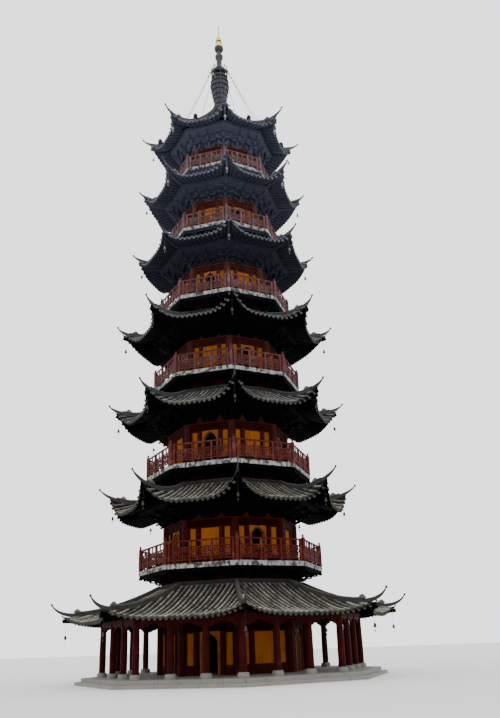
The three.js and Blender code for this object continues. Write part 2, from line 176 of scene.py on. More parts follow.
def eave_reach(storey, lateral):
    """How far out the eave lies at a distance from the middle of the side."""
    out = storey.eave[0]
    for _ in range(EAVE_ROUNDS):
        out = float(eave_out(storey, min(1.0, abs(lateral) / (out * TAN_HALF))))
    return out


def eave_half(storey):
    """Half of the eave's length along one side."""
    return storey.corner[0] * math.sin(TURN / 2)


def hip_place(storey, out, above=0.0):
    """A place on a hip, as (lateral, out, height) on the corner that faces -Y."""
    return (0.0, out / COS_HALF, roof_height(storey, out * TAN_HALF, out) + above)


# Shapes

BALL_RIMS = 7
BALL_SEGMENTS = 8
KNOB_SEGMENTS = 10
COLUMN_SEGMENTS = 16
BLOCK_FACES = [(0, 1, 3, 2), (4, 6, 7, 5), (0, 4, 5, 1), (2, 3, 7, 6), (0, 2, 6, 4), (1, 5, 7, 3)]


def circle(radius, count, across=0.0, up=0.0):
    """Points round a circle, as (across, up)."""
    angles = np.linspace(0, 2 * math.pi, count, endpoint=False)
    return [(across + radius * math.cos(angle), up + radius * math.sin(angle)) for angle in angles]


def moved(profile, across, up):
    return [(across + x, up + z) for x, z in profile]


def between(rows, count, closed=False):
    """Faces between rows of points, where each row is a loop. Closed joins the last row to the first."""
    faces = []
    for row in range(rows if closed else rows - 1):
        here, there = row * count, (row + 1) % rows * count
        for i in range(count):
            after = (i + 1) % count
            faces.append([here + i, here + after, there + after, there + i])
    return faces


class Shape:
    """Corners and faces of a piece, in metres of the real tower, with a finish number for each face."""

    def __init__(self):
        self.points = []
        self.faces = []
        self.finishes = []

    def add(self, points, faces, finish=0):
        """Adds faces that share a finish number, or have a list of them."""
        start = len(self.points)
        self.points.extend(tuple(point) for point in points)
        self.faces.extend([start + corner for corner in face] for face in faces)
        self.finishes.extend(finish if isinstance(finish, list) else [finish] * len(faces))

    def skin(self, loops, finish=0, closed=False):
        """A skin over loops of points. It comes back to the first loop, or has a flat face at each end."""
        rows, count = len(loops), len(loops[0])
        faces = between(rows, count, closed)
        if not closed:
            faces += [list(range(count)), list(range((rows - 1) * count, rows * count))]
        self.add([point for loop in loops for point in loop], faces, finish)

    def block(self, lateral, out, height, finish=0):
        """A box between three pairs of limits, on the side that faces -Y."""
        self.add([(x, -y, z) for z in height for y in out for x in lateral], BLOCK_FACES, finish)

    def prism(self, outline, near, far):
        """An outline of (lateral, height) points, carried outwards from near to far."""
        self.skin([[(x, -out, z) for x, z in outline] for out in (near, far)])

    def blade(self, outline, width):
        """An outline of (out, height) points, carried sideways over a width."""
        self.skin([[(side * width / 2, -out, z) for out, z in outline] for side in (-1, 1)])

    def carried(self, profile, turns, finish=0):
        """A closed profile of (radius, height) points, carried round the tower's axis."""
        loops = [[on_side((0.0, radius, z), turn) for radius, z in profile] for turn in turns]
        self.skin(loops, finish, closed=True)

    def ring(self, profile, finish=0):
        """A closed profile of (out, height) points, carried round the octagon."""
        self.carried([(out / COS_HALF, z) for out, z in profile], EVERY_CORNER, finish)

    def band(self, near, far, low, high, finish=0):
        """A ring with an oblong profile."""
        self.ring([(near, low), (far, low), (far, high), (near, high)], finish)

    def courses(self, profiles, out, height):
        """Rings of (finish number, profile), where a profile is counted from a place."""
        for finish, profile in profiles:
            self.ring(moved(profile, out, height), finish)

    def plate(self, out, low, high, finish=0):
        """An octagonal plate as far out as its flat sides."""
        rims = [[on_side((0.0, out / COS_HALF, z), corner) for corner in EVERY_CORNER] for z in (low, high)]
        self.skin(rims, finish)

    def lathe(self, profile, segments, finish=0, centre=(0.0, 0.0)):
        """A profile of (radius, height) points turned about a vertical line. It starts and ends on it."""
        points = []
        for radius, z in profile[1:-1]:
            for step in range(segments):
                angle = 2 * math.pi * (step + 0.5) / segments
                points.append((centre[0] + radius * math.cos(angle), centre[1] + radius * math.sin(angle), z))
        foot, head, last = len(points), len(points) + 1, len(points) - segments
        faces = between(len(profile) - 2, segments)
        for step in range(segments):
            after = (step + 1) % segments
            faces += [[foot, after, step], [head, last + step, last + after]]
        ends = [(centre[0], centre[1], profile[0][1]), (centre[0], centre[1], profile[-1][1])]
        self.add(points + ends, faces, finish)

    def rod(self, radius, low, high, segments, centre=(0.0, 0.0)):
        """An upright round bar."""
        self.lathe([(0, low), (radius, low), (radius, high), (0, high)], segments, centre=centre)

    def ball(self, radius, place):
        """A ball round a place of (lateral, out, height)."""
        lateral, out, height = place
        angles = np.linspace(-math.pi / 2, math.pi / 2, BALL_RIMS)
        profile = [(radius * math.cos(angle), height + radius * math.sin(angle)) for angle in angles]
        self.lathe(profile, BALL_SEGMENTS, centre=(lateral, -out))

    def take(self, other):
        """Adds another shape to this one."""
        self.add(other.points, other.faces, other.finishes)

    def turned(self, turns):
        """A copy of the shape at each turn about the tower's axis, counted in sides."""
        whole = Shape()
        for turn in turns:
            whole.add([on_side((x, -y, z), turn) for x, y, z in self.points], self.faces, self.finishes)
        return whole

    def mesh(self):
        made = bpy.data.meshes.new("shape")
        made.from_pydata(self.points, [], self.faces)
        made.polygons.foreach_set("material_index", self.finishes)
        return made


# Geometry Nodes trees

ARC_POINTS = 5


def add_node(tree, kind, inputs=None, **settings):
    """Adds one node with its own settings. Each input is given a value, or a socket to follow."""
    made = tree.nodes.new(kind)
    for key, value in settings.items():
        setattr(made, key, value)
    for key, value in (inputs or {}).items():
        if isinstance(value, bpy.types.NodeSocket):
            tree.links.new(value, made.inputs[key])
        else:
            made.inputs[key].default_value = value
    return made


def new_tree(name, inputs):
    """An empty tree with a geometry in and out, and the named inputs given as (name, type)."""
    tree = bpy.data.node_groups.new(name, "GeometryNodeTree")
    tree.interface.new_socket("Geometry", in_out="INPUT", socket_type="NodeSocketGeometry")
    for label, kind in inputs:
        tree.interface.new_socket(label, in_out="INPUT", socket_type=kind)
    tree.interface.new_socket("Geometry", in_out="OUTPUT", socket_type="NodeSocketGeometry")
    return tree, add_node(tree, "NodeGroupInput").outputs


def end_tree(tree, shape):
    """Ends a tree, with its instances made real."""
    real = add_node(tree, "GeometryNodeRealizeInstances", {0: shape})
    add_node(tree, "NodeGroupOutput", {0: real.outputs[0]})
    return tree


def make_sweep_tree():
    """Carries a section along paths: half round or square, standing on the path, with upright sides.
    The paths' attribute "size" swells or shrinks it."""
    tree, given = new_tree("section_along_paths", [
        ("Width", "NodeSocketFloat"), ("Height", "NodeSocketFloat"), ("Half Round", "NodeSocketBool"),
    ])
    path = add_node(tree, "GeometryNodeMeshToCurve", {0: given["Geometry"]})
    upright = add_node(tree, "GeometryNodeSetCurveNormal", {0: path.outputs[0]}, mode="Z_UP")
    size = add_node(tree, "GeometryNodeInputNamedAttribute", {0: "size"}, data_type="FLOAT")
    arc = add_node(tree, "GeometryNodeCurveArc", {
        "Resolution": ARC_POINTS, "Radius": 0.5, "Sweep Angle": -math.pi,
    })
    half_round = add_node(tree, "GeometryNodeSetSplineCyclic", {0: arc.outputs[0], 2: True})
    arched = add_node(tree, "GeometryNodeTransform", {0: half_round.outputs[0], "Scale": (1.0, 2.0, 1.0)})
    square = add_node(tree, "GeometryNodeCurvePrimitiveQuadrilateral", {"Width": 1.0, "Height": 1.0})
    seated = add_node(tree, "GeometryNodeTransform", {0: square.outputs[0], "Translation": (0, -0.5, 0)})
    chosen = add_node(tree, "GeometryNodeSwitch", {
        "Switch": given["Half Round"], "False": seated.outputs[0], "True": arched.outputs[0],
    }, input_type="GEOMETRY")
    sizes = add_node(tree, "ShaderNodeCombineXYZ", {0: given["Width"], 1: given["Height"], 2: 1.0})
    section = add_node(tree, "GeometryNodeTransform", {0: chosen.outputs[0], "Scale": sizes.outputs[0]})
    swept = add_node(tree, "GeometryNodeCurveToMesh", {
        0: upright.outputs[0], 1: section.outputs[0], "Scale": size.outputs[0], "Fill Caps": True,
    })
    return end_tree(tree, swept.outputs[0])


def make_copy_tree():
    """Puts a copy of a template at each point, turned and sized by the attributes "turn" and "size"."""
    tree, given = new_tree("template_at_points", [("Template", "NodeSocketObject")])
    template = add_node(tree, "GeometryNodeObjectInfo", {0: given["Template"]})
    turn, size = (add_node(tree, "GeometryNodeInputNamedAttribute", {0: name}, data_type="FLOAT_VECTOR")
                  for name in ("turn", "size"))
    rotation = add_node(tree, "FunctionNodeEulerToRotation", {0: turn.outputs[0]})
    copies = add_node(tree, "GeometryNodeInstanceOnPoints", {
        0: given["Geometry"], "Instance": template.outputs["Geometry"],
        "Rotation": rotation.outputs[0], "Scale": size.outputs[0],
    })
    return end_tree(tree, copies.outputs[0])


SWEEP_TREE = make_sweep_tree()
COPY_TREE = make_copy_tree()


def grown(tree, points, edges, attributes, **values):
    """Runs a tree on points and edges with attributes of (name, type, field, values)."""
    mesh = bpy.data.meshes.new("grown")
    mesh.from_pydata(points, edges, [])
    for name, kind, field, numbers in attributes:
        mesh.attributes.new(name, kind, "POINT").data.foreach_set(field, numbers)
    carrier = bpy.data.objects.new("carrier", mesh)
    bpy.context.scene.collection.objects.link(carrier)
    modifier = carrier.modifiers.new("grow", "NODES")
    modifier.node_group = tree
    for item in tree.interface.items_tree:
        key = item.name.replace(" ", "_").lower()
        if item.in_out == "INPUT" and key in values:
            modifier[item.identifier] = values[key]
    graph = bpy.context.evaluated_depsgraph_get()
    result = bpy.data.meshes.new_from_object(
        carrier.evaluated_get(graph), preserve_all_data_layers=True, depsgraph=graph)
    result.materials.clear()
    bpy.data.objects.remove(carrier)
    return result


def sweep(paths, width, height, half_round=False, tones=None):
    """Carries a section along paths. A path is a list of (x, y, z, size)."""
    points = [point for path in paths for point in path]
    edges, start = [], 0
    for path in paths:
        edges.extend((start + i, start + i + 1) for i in range(len(path) - 1))
        start += len(path)
    attributes = [("size", "FLOAT", "value", [point[3] for point in points])]
    if tones:
        attributes.append(("tone", "FLOAT", "value", tones))
    return grown(SWEEP_TREE, [point[:3] for point in points], edges, attributes,
                 width=width, height=height, half_round=half_round)


def repeat(template, places):
    """Copies a shape to places of (point, turn, size), where turn is three angles."""
    source = bpy.data.objects.new("template", template.mesh())
    bpy.context.scene.collection.objects.link(source)
    attributes = [(name, "FLOAT_VECTOR", "vector", [number for place in places for number in place[index]])
                  for index, name in ((1, "turn"), (2, "size"))]
    result = grown(COPY_TREE, [place[0] for place in places], [], attributes, template=source)
    bpy.data.objects.remove(source)
    return result


def paths_at(turns, path):
    """A path of (lateral, out, height, size), as paths for sweep at each turn."""
    return [[on_side(place[:3], turn) + place[3:] for place in path] for turn in turns]


def places_at(turns, place, lean=0.0, size=(1, 1, 1)):
    """A place of (lateral, out, height), as places for repeat at each turn."""
    return [(on_side(place, turn), (lean, 0, turn * TURN), size) for turn in turns]


def joined(meshes):
    """One mesh made of several."""
    shape = bmesh.new()
    for mesh in meshes:
        shape.from_mesh(mesh)
    whole = bpy.data.meshes.new("joined")
    shape.to_mesh(whole)
    shape.free()
    return whole


def add_piece(name, made, finishes, smooth=None, replaces=()):
    """Makes a shape or mesh a piece of the model: scaled, facing outwards, finished and riding."""
    mesh = made.mesh() if isinstance(made, Shape) else made
    mesh.name = name
    shape = bmesh.new()
    shape.from_mesh(mesh)
    bmesh.ops.recalc_face_normals(shape, faces=shape.faces)
    shape.to_mesh(mesh)
    shape.free()
    mesh.transform(Matrix.Scale(SCALE, 4))
    for finish in finishes:
        mesh.materials.append(FINISH[finish])
    if smooth:
        mesh.shade_smooth()
        mesh.set_sharp_from_angle(angle=math.radians(smooth))
    piece = bpy.data.objects.new(name, mesh)
    bpy.context.scene.collection.objects.link(piece)
    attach(piece, BODY)
    if replaces:
        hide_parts(*replaces)


# Camera, lights and floor

def add_camera():
    """The photograph's view. The fit was made facing the tower, and FRAME_TURN turns it to the model."""
    pitch, yaw, roll = (math.radians(angle) for angle in (CAMERA_PITCH, CAMERA_YAW, CAMERA_ROLL))
    forward = Vector((math.sin(yaw) * math.cos(pitch), math.cos(yaw) * math.cos(pitch), math.sin(pitch)))
    level = Vector((math.cos(yaw), -math.sin(yaw), 0))
    upright = level.cross(forward)
    right = math.cos(roll) * level + math.sin(roll) * upright
    up = math.cos(roll) * upright - math.sin(roll) * level
    facing = Matrix((right, up, -forward)).transposed().to_4x4()
    place = Matrix.Translation(SCALE * Vector((0, -CAMERA_DISTANCE, CAMERA_HEIGHT)))
    data = bpy.data.cameras.new("camera")
    data.lens = LENS
    data.sensor_width = SENSOR
    data.clip_end = CLIP_END
    camera = bpy.data.objects.new("camera", data)
    camera.matrix_world = Matrix.Rotation(math.radians(FRAME_TURN), 4, "Z") @ place @ facing
    bpy.context.scene.collection.objects.link(camera)
    bpy.context.scene.camera = camera


def add_light():
    """A bright overcast sky: an even white dome and one broad soft panel high above."""
    world = bpy.data.worlds.new("overcast_sky")
    world.use_nodes = True
    sky = world.node_tree.nodes["Background"]
    sky.inputs["Color"].default_value = colour("#fbfcff")
    sky.inputs["Strength"].default_value = SKY_STRENGTH
    bpy.context.scene.world = world
    data = bpy.data.lights.new("sky_panel", "SUN")
    data.energy = PANEL_STRENGTH
    data.angle = math.radians(PANEL_SPREAD)
    panel = bpy.data.objects.new("sky_panel", data)
    panel.rotation_euler = [math.radians(angle) for angle in PANEL_TURN]
    bpy.context.scene.collection.objects.link(panel)


def add_floor():
    mesh = bpy.data.meshes.new("studio_floor")
    corners = [(x * FLOOR_HALF, y * FLOOR_HALF, 0) for x, y in ((-1, -1), (1, -1), (1, 1), (-1, 1))]
    mesh.from_pydata(corners, [], [(0, 1, 2, 3)])
    mesh.materials.append(FINISH["floor"])
    floor = bpy.data.objects.new("studio_floor", mesh)
    bpy.context.scene.collection.objects.link(floor)


# Finishes

MIX_FACTOR, MIX_A, MIX_B, MIX_OUT = 0, 6, 7, 2

# Heights between which the finishes go over to their look at the head of the tower. Over the first,
# the tiles and the painted timber go paler. Over the second, the near-black timber under the eaves and
# the bells go paler, as painted sky light on the high roofs.
PALING_HEIGHTS = (8.0, 29.0)
SKY_LIT = (18.0, 30.0)

# The rooms' radius at the ground, and how it grows with height. Inside it the limewash is painted
# black, as painted shade.
ROOM_RADIUS = 3.05
ROOM_TAPER = -0.0437

# Stains: the values of their pattern where they start and are full, and their share there
MOSS = (0.50, 0.66, 0.0, 0.6)
SOOT = (0.46, 0.32, 0.0, 0.6)
# Painted shade on the flanks of the tiles: the upward part of the normal where it starts and is full, and its
# share where it starts. Each tile finish gives its full share.
FLANK_SHADE_SPREAD = (0.75, 0.35, 0.0)
RAIN_RUNS = (0.52, 0.75, 0.0, 0.6)
FADING = (0.50, 0.72, 0.0, 0.7)
DIRT_IN_GRAIN = (0.50, 0.30, 0.0, 0.7)
BOARD_RUNS = (0.42, 0.62, 0.0, 0.9)
BOARD_FLAKES = (0.50, 0.57, 0.0, 0.9)
TARNISH = (0.42, 0.66)
DULLING = (0.3, 0.7)
POLISHED = 0.1
DULLED = 0.2
STONE_SPECKLES = (0.0, 1.0, 0.7, 1.15)


def colour(code):
    """An sRGB hex colour as linear values."""
    shares = [int(code[at:at + 2], 16) / 255 for at in (1, 3, 5)]
    return tuple(x / 12.92 if x <= 0.04045 else ((x + 0.055) / 1.055) ** 2.4 for x in shares) + (1.0,)


class Finish:
    """A material in the making, with the places on it in real metres."""

    def __init__(self, name, roughness, metallic=0.0, sheen=0.5):
        self.material = bpy.data.materials.new(name)
        self.material.use_nodes = True
        self.shader = self.material.node_tree.nodes["Principled BSDF"]
        self.shader.inputs["Roughness"].default_value = roughness
        self.shader.inputs["Metallic"].default_value = metallic
        self.shader.inputs["Specular IOR Level"].default_value = sheen
        place = self.node("ShaderNodeTexCoord").outputs["Object"]
        self.metres = self.vector("SCALE", {0: place, "Scale": 1 / SCALE})
        self.height = self.node("ShaderNodeSeparateXYZ", {0: self.metres}).outputs[2]

    def node(self, kind, inputs=None, **settings):
        return add_node(self.material.node_tree, kind, inputs, **settings)

    def vector(self, operation, inputs, output=0):
        return self.node("ShaderNodeVectorMath", inputs, operation=operation).outputs[output]

    def mixed(self, share, first, second):
        """A colour between two others, each given as a hex code or as a socket."""
        first, second = (colour(side) if isinstance(side, str) else side for side in (first, second))
        inputs = {MIX_FACTOR: share, MIX_A: first, MIX_B: second}
        return self.node("ShaderNodeMix", inputs, data_type="RGBA").outputs[MIX_OUT]

    def spread(self, value, start, end, low=0.0, high=1.0):
        """Maps one range of a value to another, and holds it at the ends."""
        return self.node("ShaderNodeMapRange", {0: value, 1: start, 2: end, 3: low, 4: high}).outputs[0]

    def noise(self, size, detail, upright=1.0):
        """Cloudy noise with patches about as large as the size. Upright below 1 draws it out upwards."""
        places = self.vector("MULTIPLY", {0: self.metres, 1: (1, 1, upright)})
        inputs = {"Vector": places, "Scale": 1 / size, "Detail": detail}
        return self.node("ShaderNodeTexNoise", inputs).outputs[0]

    def end(self, body, relief, strength, depth):
        """Gives the material its colour and its fine relief."""
        bump = self.node("ShaderNodeBump", {"Strength": strength, "Distance": depth, "Height": relief})
        self.material.node_tree.links.new(body, self.shader.inputs["Base Color"])
        self.material.node_tree.links.new(bump.outputs[0], self.shader.inputs["Normal"])
        return self.material


def make_tile(name, low, high, flank_shade):
    """Unglazed grey fired clay. Matt; each tile took its own tone in the kiln. Soot and brown moss stain it
    in patches. The high roofs are paler than the low ones. The flanks of the tiles are painted darker
    than their crowns, as painted shade."""
    clay = Finish(name, 0.82, sheen=0.15)
    tone = clay.node("ShaderNodeAttribute", attribute_name="tone").outputs["Fac"]
    share = clay.spread(clay.height, *PALING_HEIGHTS)
    darkest, palest = (clay.mixed(share, foot, head) for foot, head in zip(low, high))
    stain = clay.noise(size=0.7, detail=5.0)
    mossy = clay.mixed(clay.spread(stain, *MOSS), clay.mixed(tone, darkest, palest), "#3f3a2c")
    darkened = clay.mixed(clay.spread(stain, *SOOT), mossy, "#1d1f22")
    # The flanks of the tiles, whose normals lean away from up, are painted darker, as painted shade.
    normal = clay.node("ShaderNodeNewGeometry").outputs["Normal"]
    upward = clay.node("ShaderNodeSeparateXYZ", {0: normal}).outputs[2]
    darker_in_places = clay.mixed(clay.spread(upward, *FLANK_SHADE_SPREAD, flank_shade), darkened, "#0f0f0e")
    return clay.end(darker_in_places, clay.noise(size=0.04, detail=3.0), strength=0.5, depth=0.004)


def make_limewash(name, plain, fresh, stained):
    """Ochre limewash brushed on rendered brick. Dead matt and cloudy, with brown rain runs. The rooms
    and the sides of the doorways are painted black, as the shade inside the tower."""
    wash = Finish(name, 0.9, sheen=0.1)
    body = wash.mixed(wash.noise(size=0.5, detail=4.0), plain, fresh)
    runs = wash.spread(wash.noise(size=0.12, detail=3.0, upright=0.12), *RAIN_RUNS)
    washed = wash.mixed(runs, body, stained)
    # Inside the rooms' radius the wash is painted black, as painted shade in the rooms and the doorways.
    flat = wash.vector("MULTIPLY", {0: wash.metres, 1: (1, 1, 0)})
    radius = wash.vector("LENGTH", {0: flat}, "Value")
    reach = {0: wash.height, 1: ROOM_TAPER, 2: ROOM_RADIUS}
    limit = wash.node("ShaderNodeMath", reach, operation="MULTIPLY_ADD")
    inside = wash.node("ShaderNodeMath", {0: radius, 1: limit.outputs[0]}, operation="LESS_THAN")
    darkened = wash.mixed(inside.outputs[0], washed, "#0b0a09")
    return wash.end(darkened, wash.noise(size=0.03, detail=2.0), strength=0.3, depth=0.003)


def make_timber(name, low, high, span, roughness, sheen):
    """Oil paint on sawn timber. A low sheen, with grain along the height, sun-faded patches and grime
    in the grain. Low and high give its paint, fade and grime at the foot and the head of the tower."""
    wood = Finish(name, roughness, sheen=sheen)
    grain = wood.noise(size=0.035, detail=4.0, upright=0.15)
    share = wood.spread(wood.height, *span)
    paint, faded, grime = (wood.mixed(share, foot, head) for foot, head in zip(low, high))
    worn = wood.mixed(wood.spread(wood.noise(size=0.35, detail=6.0), *FADING), paint, faded)
    darker_in_places = wood.mixed(wood.spread(grain, *DIRT_IN_GRAIN), worn, grime)
    return wood.end(darker_in_places, grain, strength=0.4, depth=0.003)


def make_weathered_board():
    """Limed boards left to the weather. Chalky grey-white, with blue-grey rain runs and flaked patches."""
    board = Finish("weathered_limed_board", 0.88, sheen=0.15)
    flake = board.noise(size=0.22, detail=7.0)
    runs = board.spread(board.noise(size=0.10, detail=5.0, upright=0.2), *BOARD_RUNS)
    body = board.mixed(runs, "#94938e", "#4a4e50")
    flaked = board.mixed(board.spread(flake, *BOARD_FLAKES), body, "#2a261f")
    return board.end(flaked, flake, strength=0.5, depth=0.004)


def make_metal(name, metal, tarnish, roughness, metallic, patch_size=0.12, high=None):
    """Cast or beaten metal in the weather. Tarnish gathers in patches and dulls it. Where high is
    given, the bare metal goes over to that colour up the tower, as painted sky light."""
    cast = Finish(name, roughness, metallic)
    patch = cast.noise(patch_size, detail=6.0)
    # Where a high colour is given, the metal goes over to it up the tower, as painted sky light.
    sky_lit_metal = cast.mixed(cast.spread(cast.height, *SKY_LIT), metal, high or metal)
    body = cast.mixed(cast.spread(patch, *TARNISH), sky_lit_metal, tarnish)
    rough = cast.spread(patch, *DULLING, roughness - POLISHED, roughness + DULLED)
    cast.material.node_tree.links.new(rough, cast.shader.inputs["Roughness"])
    return cast.end(body, patch, strength=0.3, depth=0.003)


def make_stone(name, pale, grey, grain_size):
    """Bush-hammered stone, or old lime mortar. Speckled and matt, with a pitted face."""
    stone = Finish(name, 0.88)
    speck = stone.node("ShaderNodeTexVoronoi", {"Vector": stone.metres, "Scale": 1 / grain_size})
    body = stone.mixed(stone.noise(size=0.6, detail=5.0), pale, grey)
    dots = stone.spread(speck.outputs["Color"], *STONE_SPECKLES)
    speckled = stone.vector("SCALE", {0: body, "Scale": dots})
    return stone.end(speckled, speck.outputs[0], strength=0.4, depth=0.004)


def make_floor_finish():
    """Pale studio floor: smooth matt paper."""
    paper = Finish("studio_paper", 0.95)
    fibre = paper.noise(size=0.5, detail=2.0)
    return paper.end(paper.mixed(fibre, "#cfcecb", "#d4d3d0"), fibre, strength=0.1, depth=0.001)


FINISH = {
    # The last number of each tile finish is how dark the flanks of its tiles are painted, as painted shade.
    "tile": make_tile("fired_clay_tile", ("#56564f", "#b2ae9f"), ("#62656c", "#a4a8b0"), flank_shade=0.85),
    # The pan tiles are painted near-black, as the shade between the rows of tiles.
    "pan": make_tile("fired_clay_pan_tile", ("#0e0e0c", "#1c1b18"), ("#1e2024", "#2e3138"), flank_shade=0.3),
    "ridge": make_tile("fired_clay_ridge_tile", ("#3c3c38", "#504f4a"), ("#50545c", "#666a73"), flank_shade=0.35),
    "rim": make_tile("fired_clay_end_tile", ("#36362f", "#4a4a43"), ("#565a62", "#6e727b"), flank_shade=0.0),
    "lime": make_tile("weathered_lime_scroll", ("#6c6a62", "#8c8a82"), ("#6e727b", "#8c9098"), flank_shade=0.0),
    "ochre": make_limewash("ochre_limewash", "#82430e", "#9a5a15", "#462610"),
    "shaded ochre": make_limewash("shaded_ochre_limewash", "#55300e", "#6a4014", "#2c1a0a"),
    # Ochre darkened as painted shade, for the wall between the bracket sets under the eaves.
    "ochre in painted shade": make_limewash("grimy_ochre_limewash", "#301306", "#3e1b0a", "#1b0b04"),
    "tan": make_timber("tan_painted_timber", ("#6a3c2c", "#865c46", "#321a14"),
                       ("#7c6058", "#8e746c", "#4c3834"), PALING_HEIGHTS, roughness=0.6, sheen=0.15),
    "red": make_timber("red_oil_painted_timber", ("#300403", "#44100a", "#100202"),
                       ("#482a2a", "#5c403c", "#281618"), PALING_HEIGHTS, roughness=0.6, sheen=0.05),
    "rail": make_timber("faded_red_rail_timber", ("#4a150e", "#6c3c2e", "#220806"),
                        ("#584244", "#766464", "#342629"), PALING_HEIGHTS, roughness=0.65, sheen=0.08),
    "beam": make_timber("deep_red_painted_timber", ("#1c0202", "#2c0604", "#0c0101"),
                        ("#361a19", "#482824", "#1c0d0e"), PALING_HEIGHTS, roughness=0.65, sheen=0.02),
    "ledge": make_timber("brick_red_painted_timber", ("#380a05", "#4c160c", "#1a0403"),
                         ("#50261e", "#64382e", "#2a1410"), PALING_HEIGHTS, roughness=0.65, sheen=0.03),
    # Timber under the eaves and the balconies, painted near-black as painted shade. Up the tower it goes
    # blue-grey, as painted sky light on the high roofs.
    "dark": make_timber("dark_oiled_timber", ("#040405", "#07070a", "#020203"),
                        ("#404353", "#4a4d5c", "#2e313d"), SKY_LIT, roughness=0.85, sheen=0.03),
    "board": make_weathered_board(),
    "iron": make_metal("cast_iron", "#2f3038", "#1c1c24", roughness=0.55, metallic=0.5),
    "neck": make_metal("weathered_grey_iron", "#3a3a37", "#242422", roughness=0.6, metallic=0.4),
    "cup": make_metal("dark_bronze", "#382528", "#20161a", roughness=0.5, metallic=0.5),
    "gilt": make_metal("gilt_copper", "#e2c45e", "#94763a", roughness=0.32, metallic=1.0, patch_size=0.15),
    "tarnish": make_metal("tarnished_gilt_copper", "#5a4326", "#2e2318", roughness=0.5, metallic=0.8,
                          patch_size=0.08),
    # The bells are painted near-black on the low roofs as painted shade, and pale on the high roofs as
    # painted sky light.
    "pewter": make_metal("weathered_pewter", "#1c1c1b", "#141413", roughness=0.55, metallic=0.3,
                         patch_size=0.05, high="#a8a7b2"),
    "mortar": make_stone("old_lime_mortar", "#33322f", "#22211f", grain_size=0.03),
    "granite": make_stone("dressed_granite", "#85827a", "#6a6862", grain_size=0.02),
    "floor": make_floor_finish(),
}


# Roof of a storey

BOARDS_ACROSS = 20
BOARDS_DOWN = 7
ROW_SPACING = 0.252
ROW_WIDTH = 0.13
ROW_HEIGHT = 0.11
ROW_SINK = 0.01
TILE_LENGTH = 0.28
TILE_NARROW = 0.86
TILE_JOINT = 0.03
ROW_SHARE = 0.6
WALL_RIDGE_WIDTH = 0.20


def roof_sheet(storey):
    """The boards and pan tiles: one closed sheet between the tiles' beds and the boards' underside. The
    pan tiles are painted near-black, as the shade between the rows of tiles.
    """
    across = np.linspace(-1, 1, BOARDS_ACROSS + 1)[:-1]
    downs = np.linspace(0, 1, BOARDS_DOWN + 1)
    loops = []
    for share, stations in ((0, downs), (BOARDS_SHARE, downs[::-1])):
        for down in stations:
            lateral, out, height = roof_point(storey, across, down)
            places = list(zip(lateral, out, height - share * roof_thickness(down)))
            loops.append([on_side(place, side) for side in EVERY_SIDE for place in places])
    row = SIDES * BOARDS_ACROSS
    shape = Shape()
    shape.skin(loops, [0] * (BOARDS_DOWN * row) + [1] * ((BOARDS_DOWN + 2) * row), closed=True)
    return shape


def row_laterals(storey, spacing):
    count = int((eave_half(storey) - spacing / 2) / spacing)
    return [spacing * i for i in range(-count, count + 1)]


def tile_rows(storey, chance):
    """The raised rows of half-round tiles, each tile a little wider at its lower end, and the places
    of their ends."""
    paths, tones, ends = [], [], []
    for lateral in row_laterals(storey, ROW_SPACING):
        near = max(storey.root[0] + WALL_RIDGE_WIDTH / 2, abs(lateral) / TAN_HALF)
        far = eave_reach(storey, lateral)
        count = max(1, round((far - near) / TILE_LENGTH))
        path = []
        for tile in range(count):
            for share, size in ((TILE_JOINT, TILE_NARROW), (1, 1.0)):
                out = near + (far - near) * (tile + share) / count
                path.append((lateral, out, roof_height(storey, lateral, out) - ROW_SINK, size))
        before, last = path[-2:]
        fall = math.atan2(before[2] - last[2], last[1] - before[1])
        paths.extend(paths_at(EVERY_SIDE, path))
        ends.extend(places_at(EVERY_SIDE, last[:3], fall))
        for _ in EVERY_SIDE:
            row_tone = chance.random()
            for _ in range(count):
                tones.extend([ROW_SHARE * row_tone + (1 - ROW_SHARE) * chance.random()] * 2)
    return sweep(paths, ROW_WIDTH, ROW_HEIGHT, half_round=True, tones=tones), ends


END_RADIUS = 0.045
END_RAISE = 0.045
END_SEGMENTS = 10
END_REACH = (-0.02, 0.035)
DRIP_TOP = 0.03
DRIP_DEPTH = 0.12
DRIP_SHOULDER = 0.65
DRIP_OVERLAP = 0.01
DRIP_REACH = (-0.02, 0.025)
CORNER_TILE_SIZE = (1.4, 1.0, 0.8)


def end_tile():
    """The round end tile of a row."""
    shape = Shape()
    shape.prism(circle(END_RADIUS, END_SEGMENTS, up=END_RAISE), *END_REACH)
    return shape


def drip_tile():
    """The tongue-shaped drip tile beside the end of a row."""
    left = ROW_WIDTH / 2 - DRIP_OVERLAP
    right = ROW_SPACING - left
    shoulder = DRIP_TOP - DRIP_SHOULDER * DRIP_DEPTH
    shape = Shape()
    shape.prism([(left, DRIP_TOP), (right, DRIP_TOP), (right, shoulder),
                 ((left + right) / 2, DRIP_TOP - DRIP_DEPTH), (left, shoulder)], *DRIP_REACH)
    return shape


def corner_tiles(storey):
    """Places of the wide end tile that closes each hip at the eave."""
    return places_at(EVERY_CORNER, hip_place(storey, storey.corner[0] * COS_HALF), size=CORNER_TILE_SIZE)


RAFTER_SPACING = 0.26
RAFTER_WIDTH = 0.14
RAFTER_DEPTH = 0.05
RAFTER_STATIONS = 5
RAFTER_END = 0.985
FAN_FROM = 0.75
FAN_TO = 0.97
HIP_BEAM_WIDTH = 0.20
HIP_BEAM_DEPTH = 0.24
HIP_BEAM_TAPER = 0.25
HIP_BEAM_STATIONS = 7
PURLIN = 0.14
PURLIN_PLACES = (0.5075, 0.986)


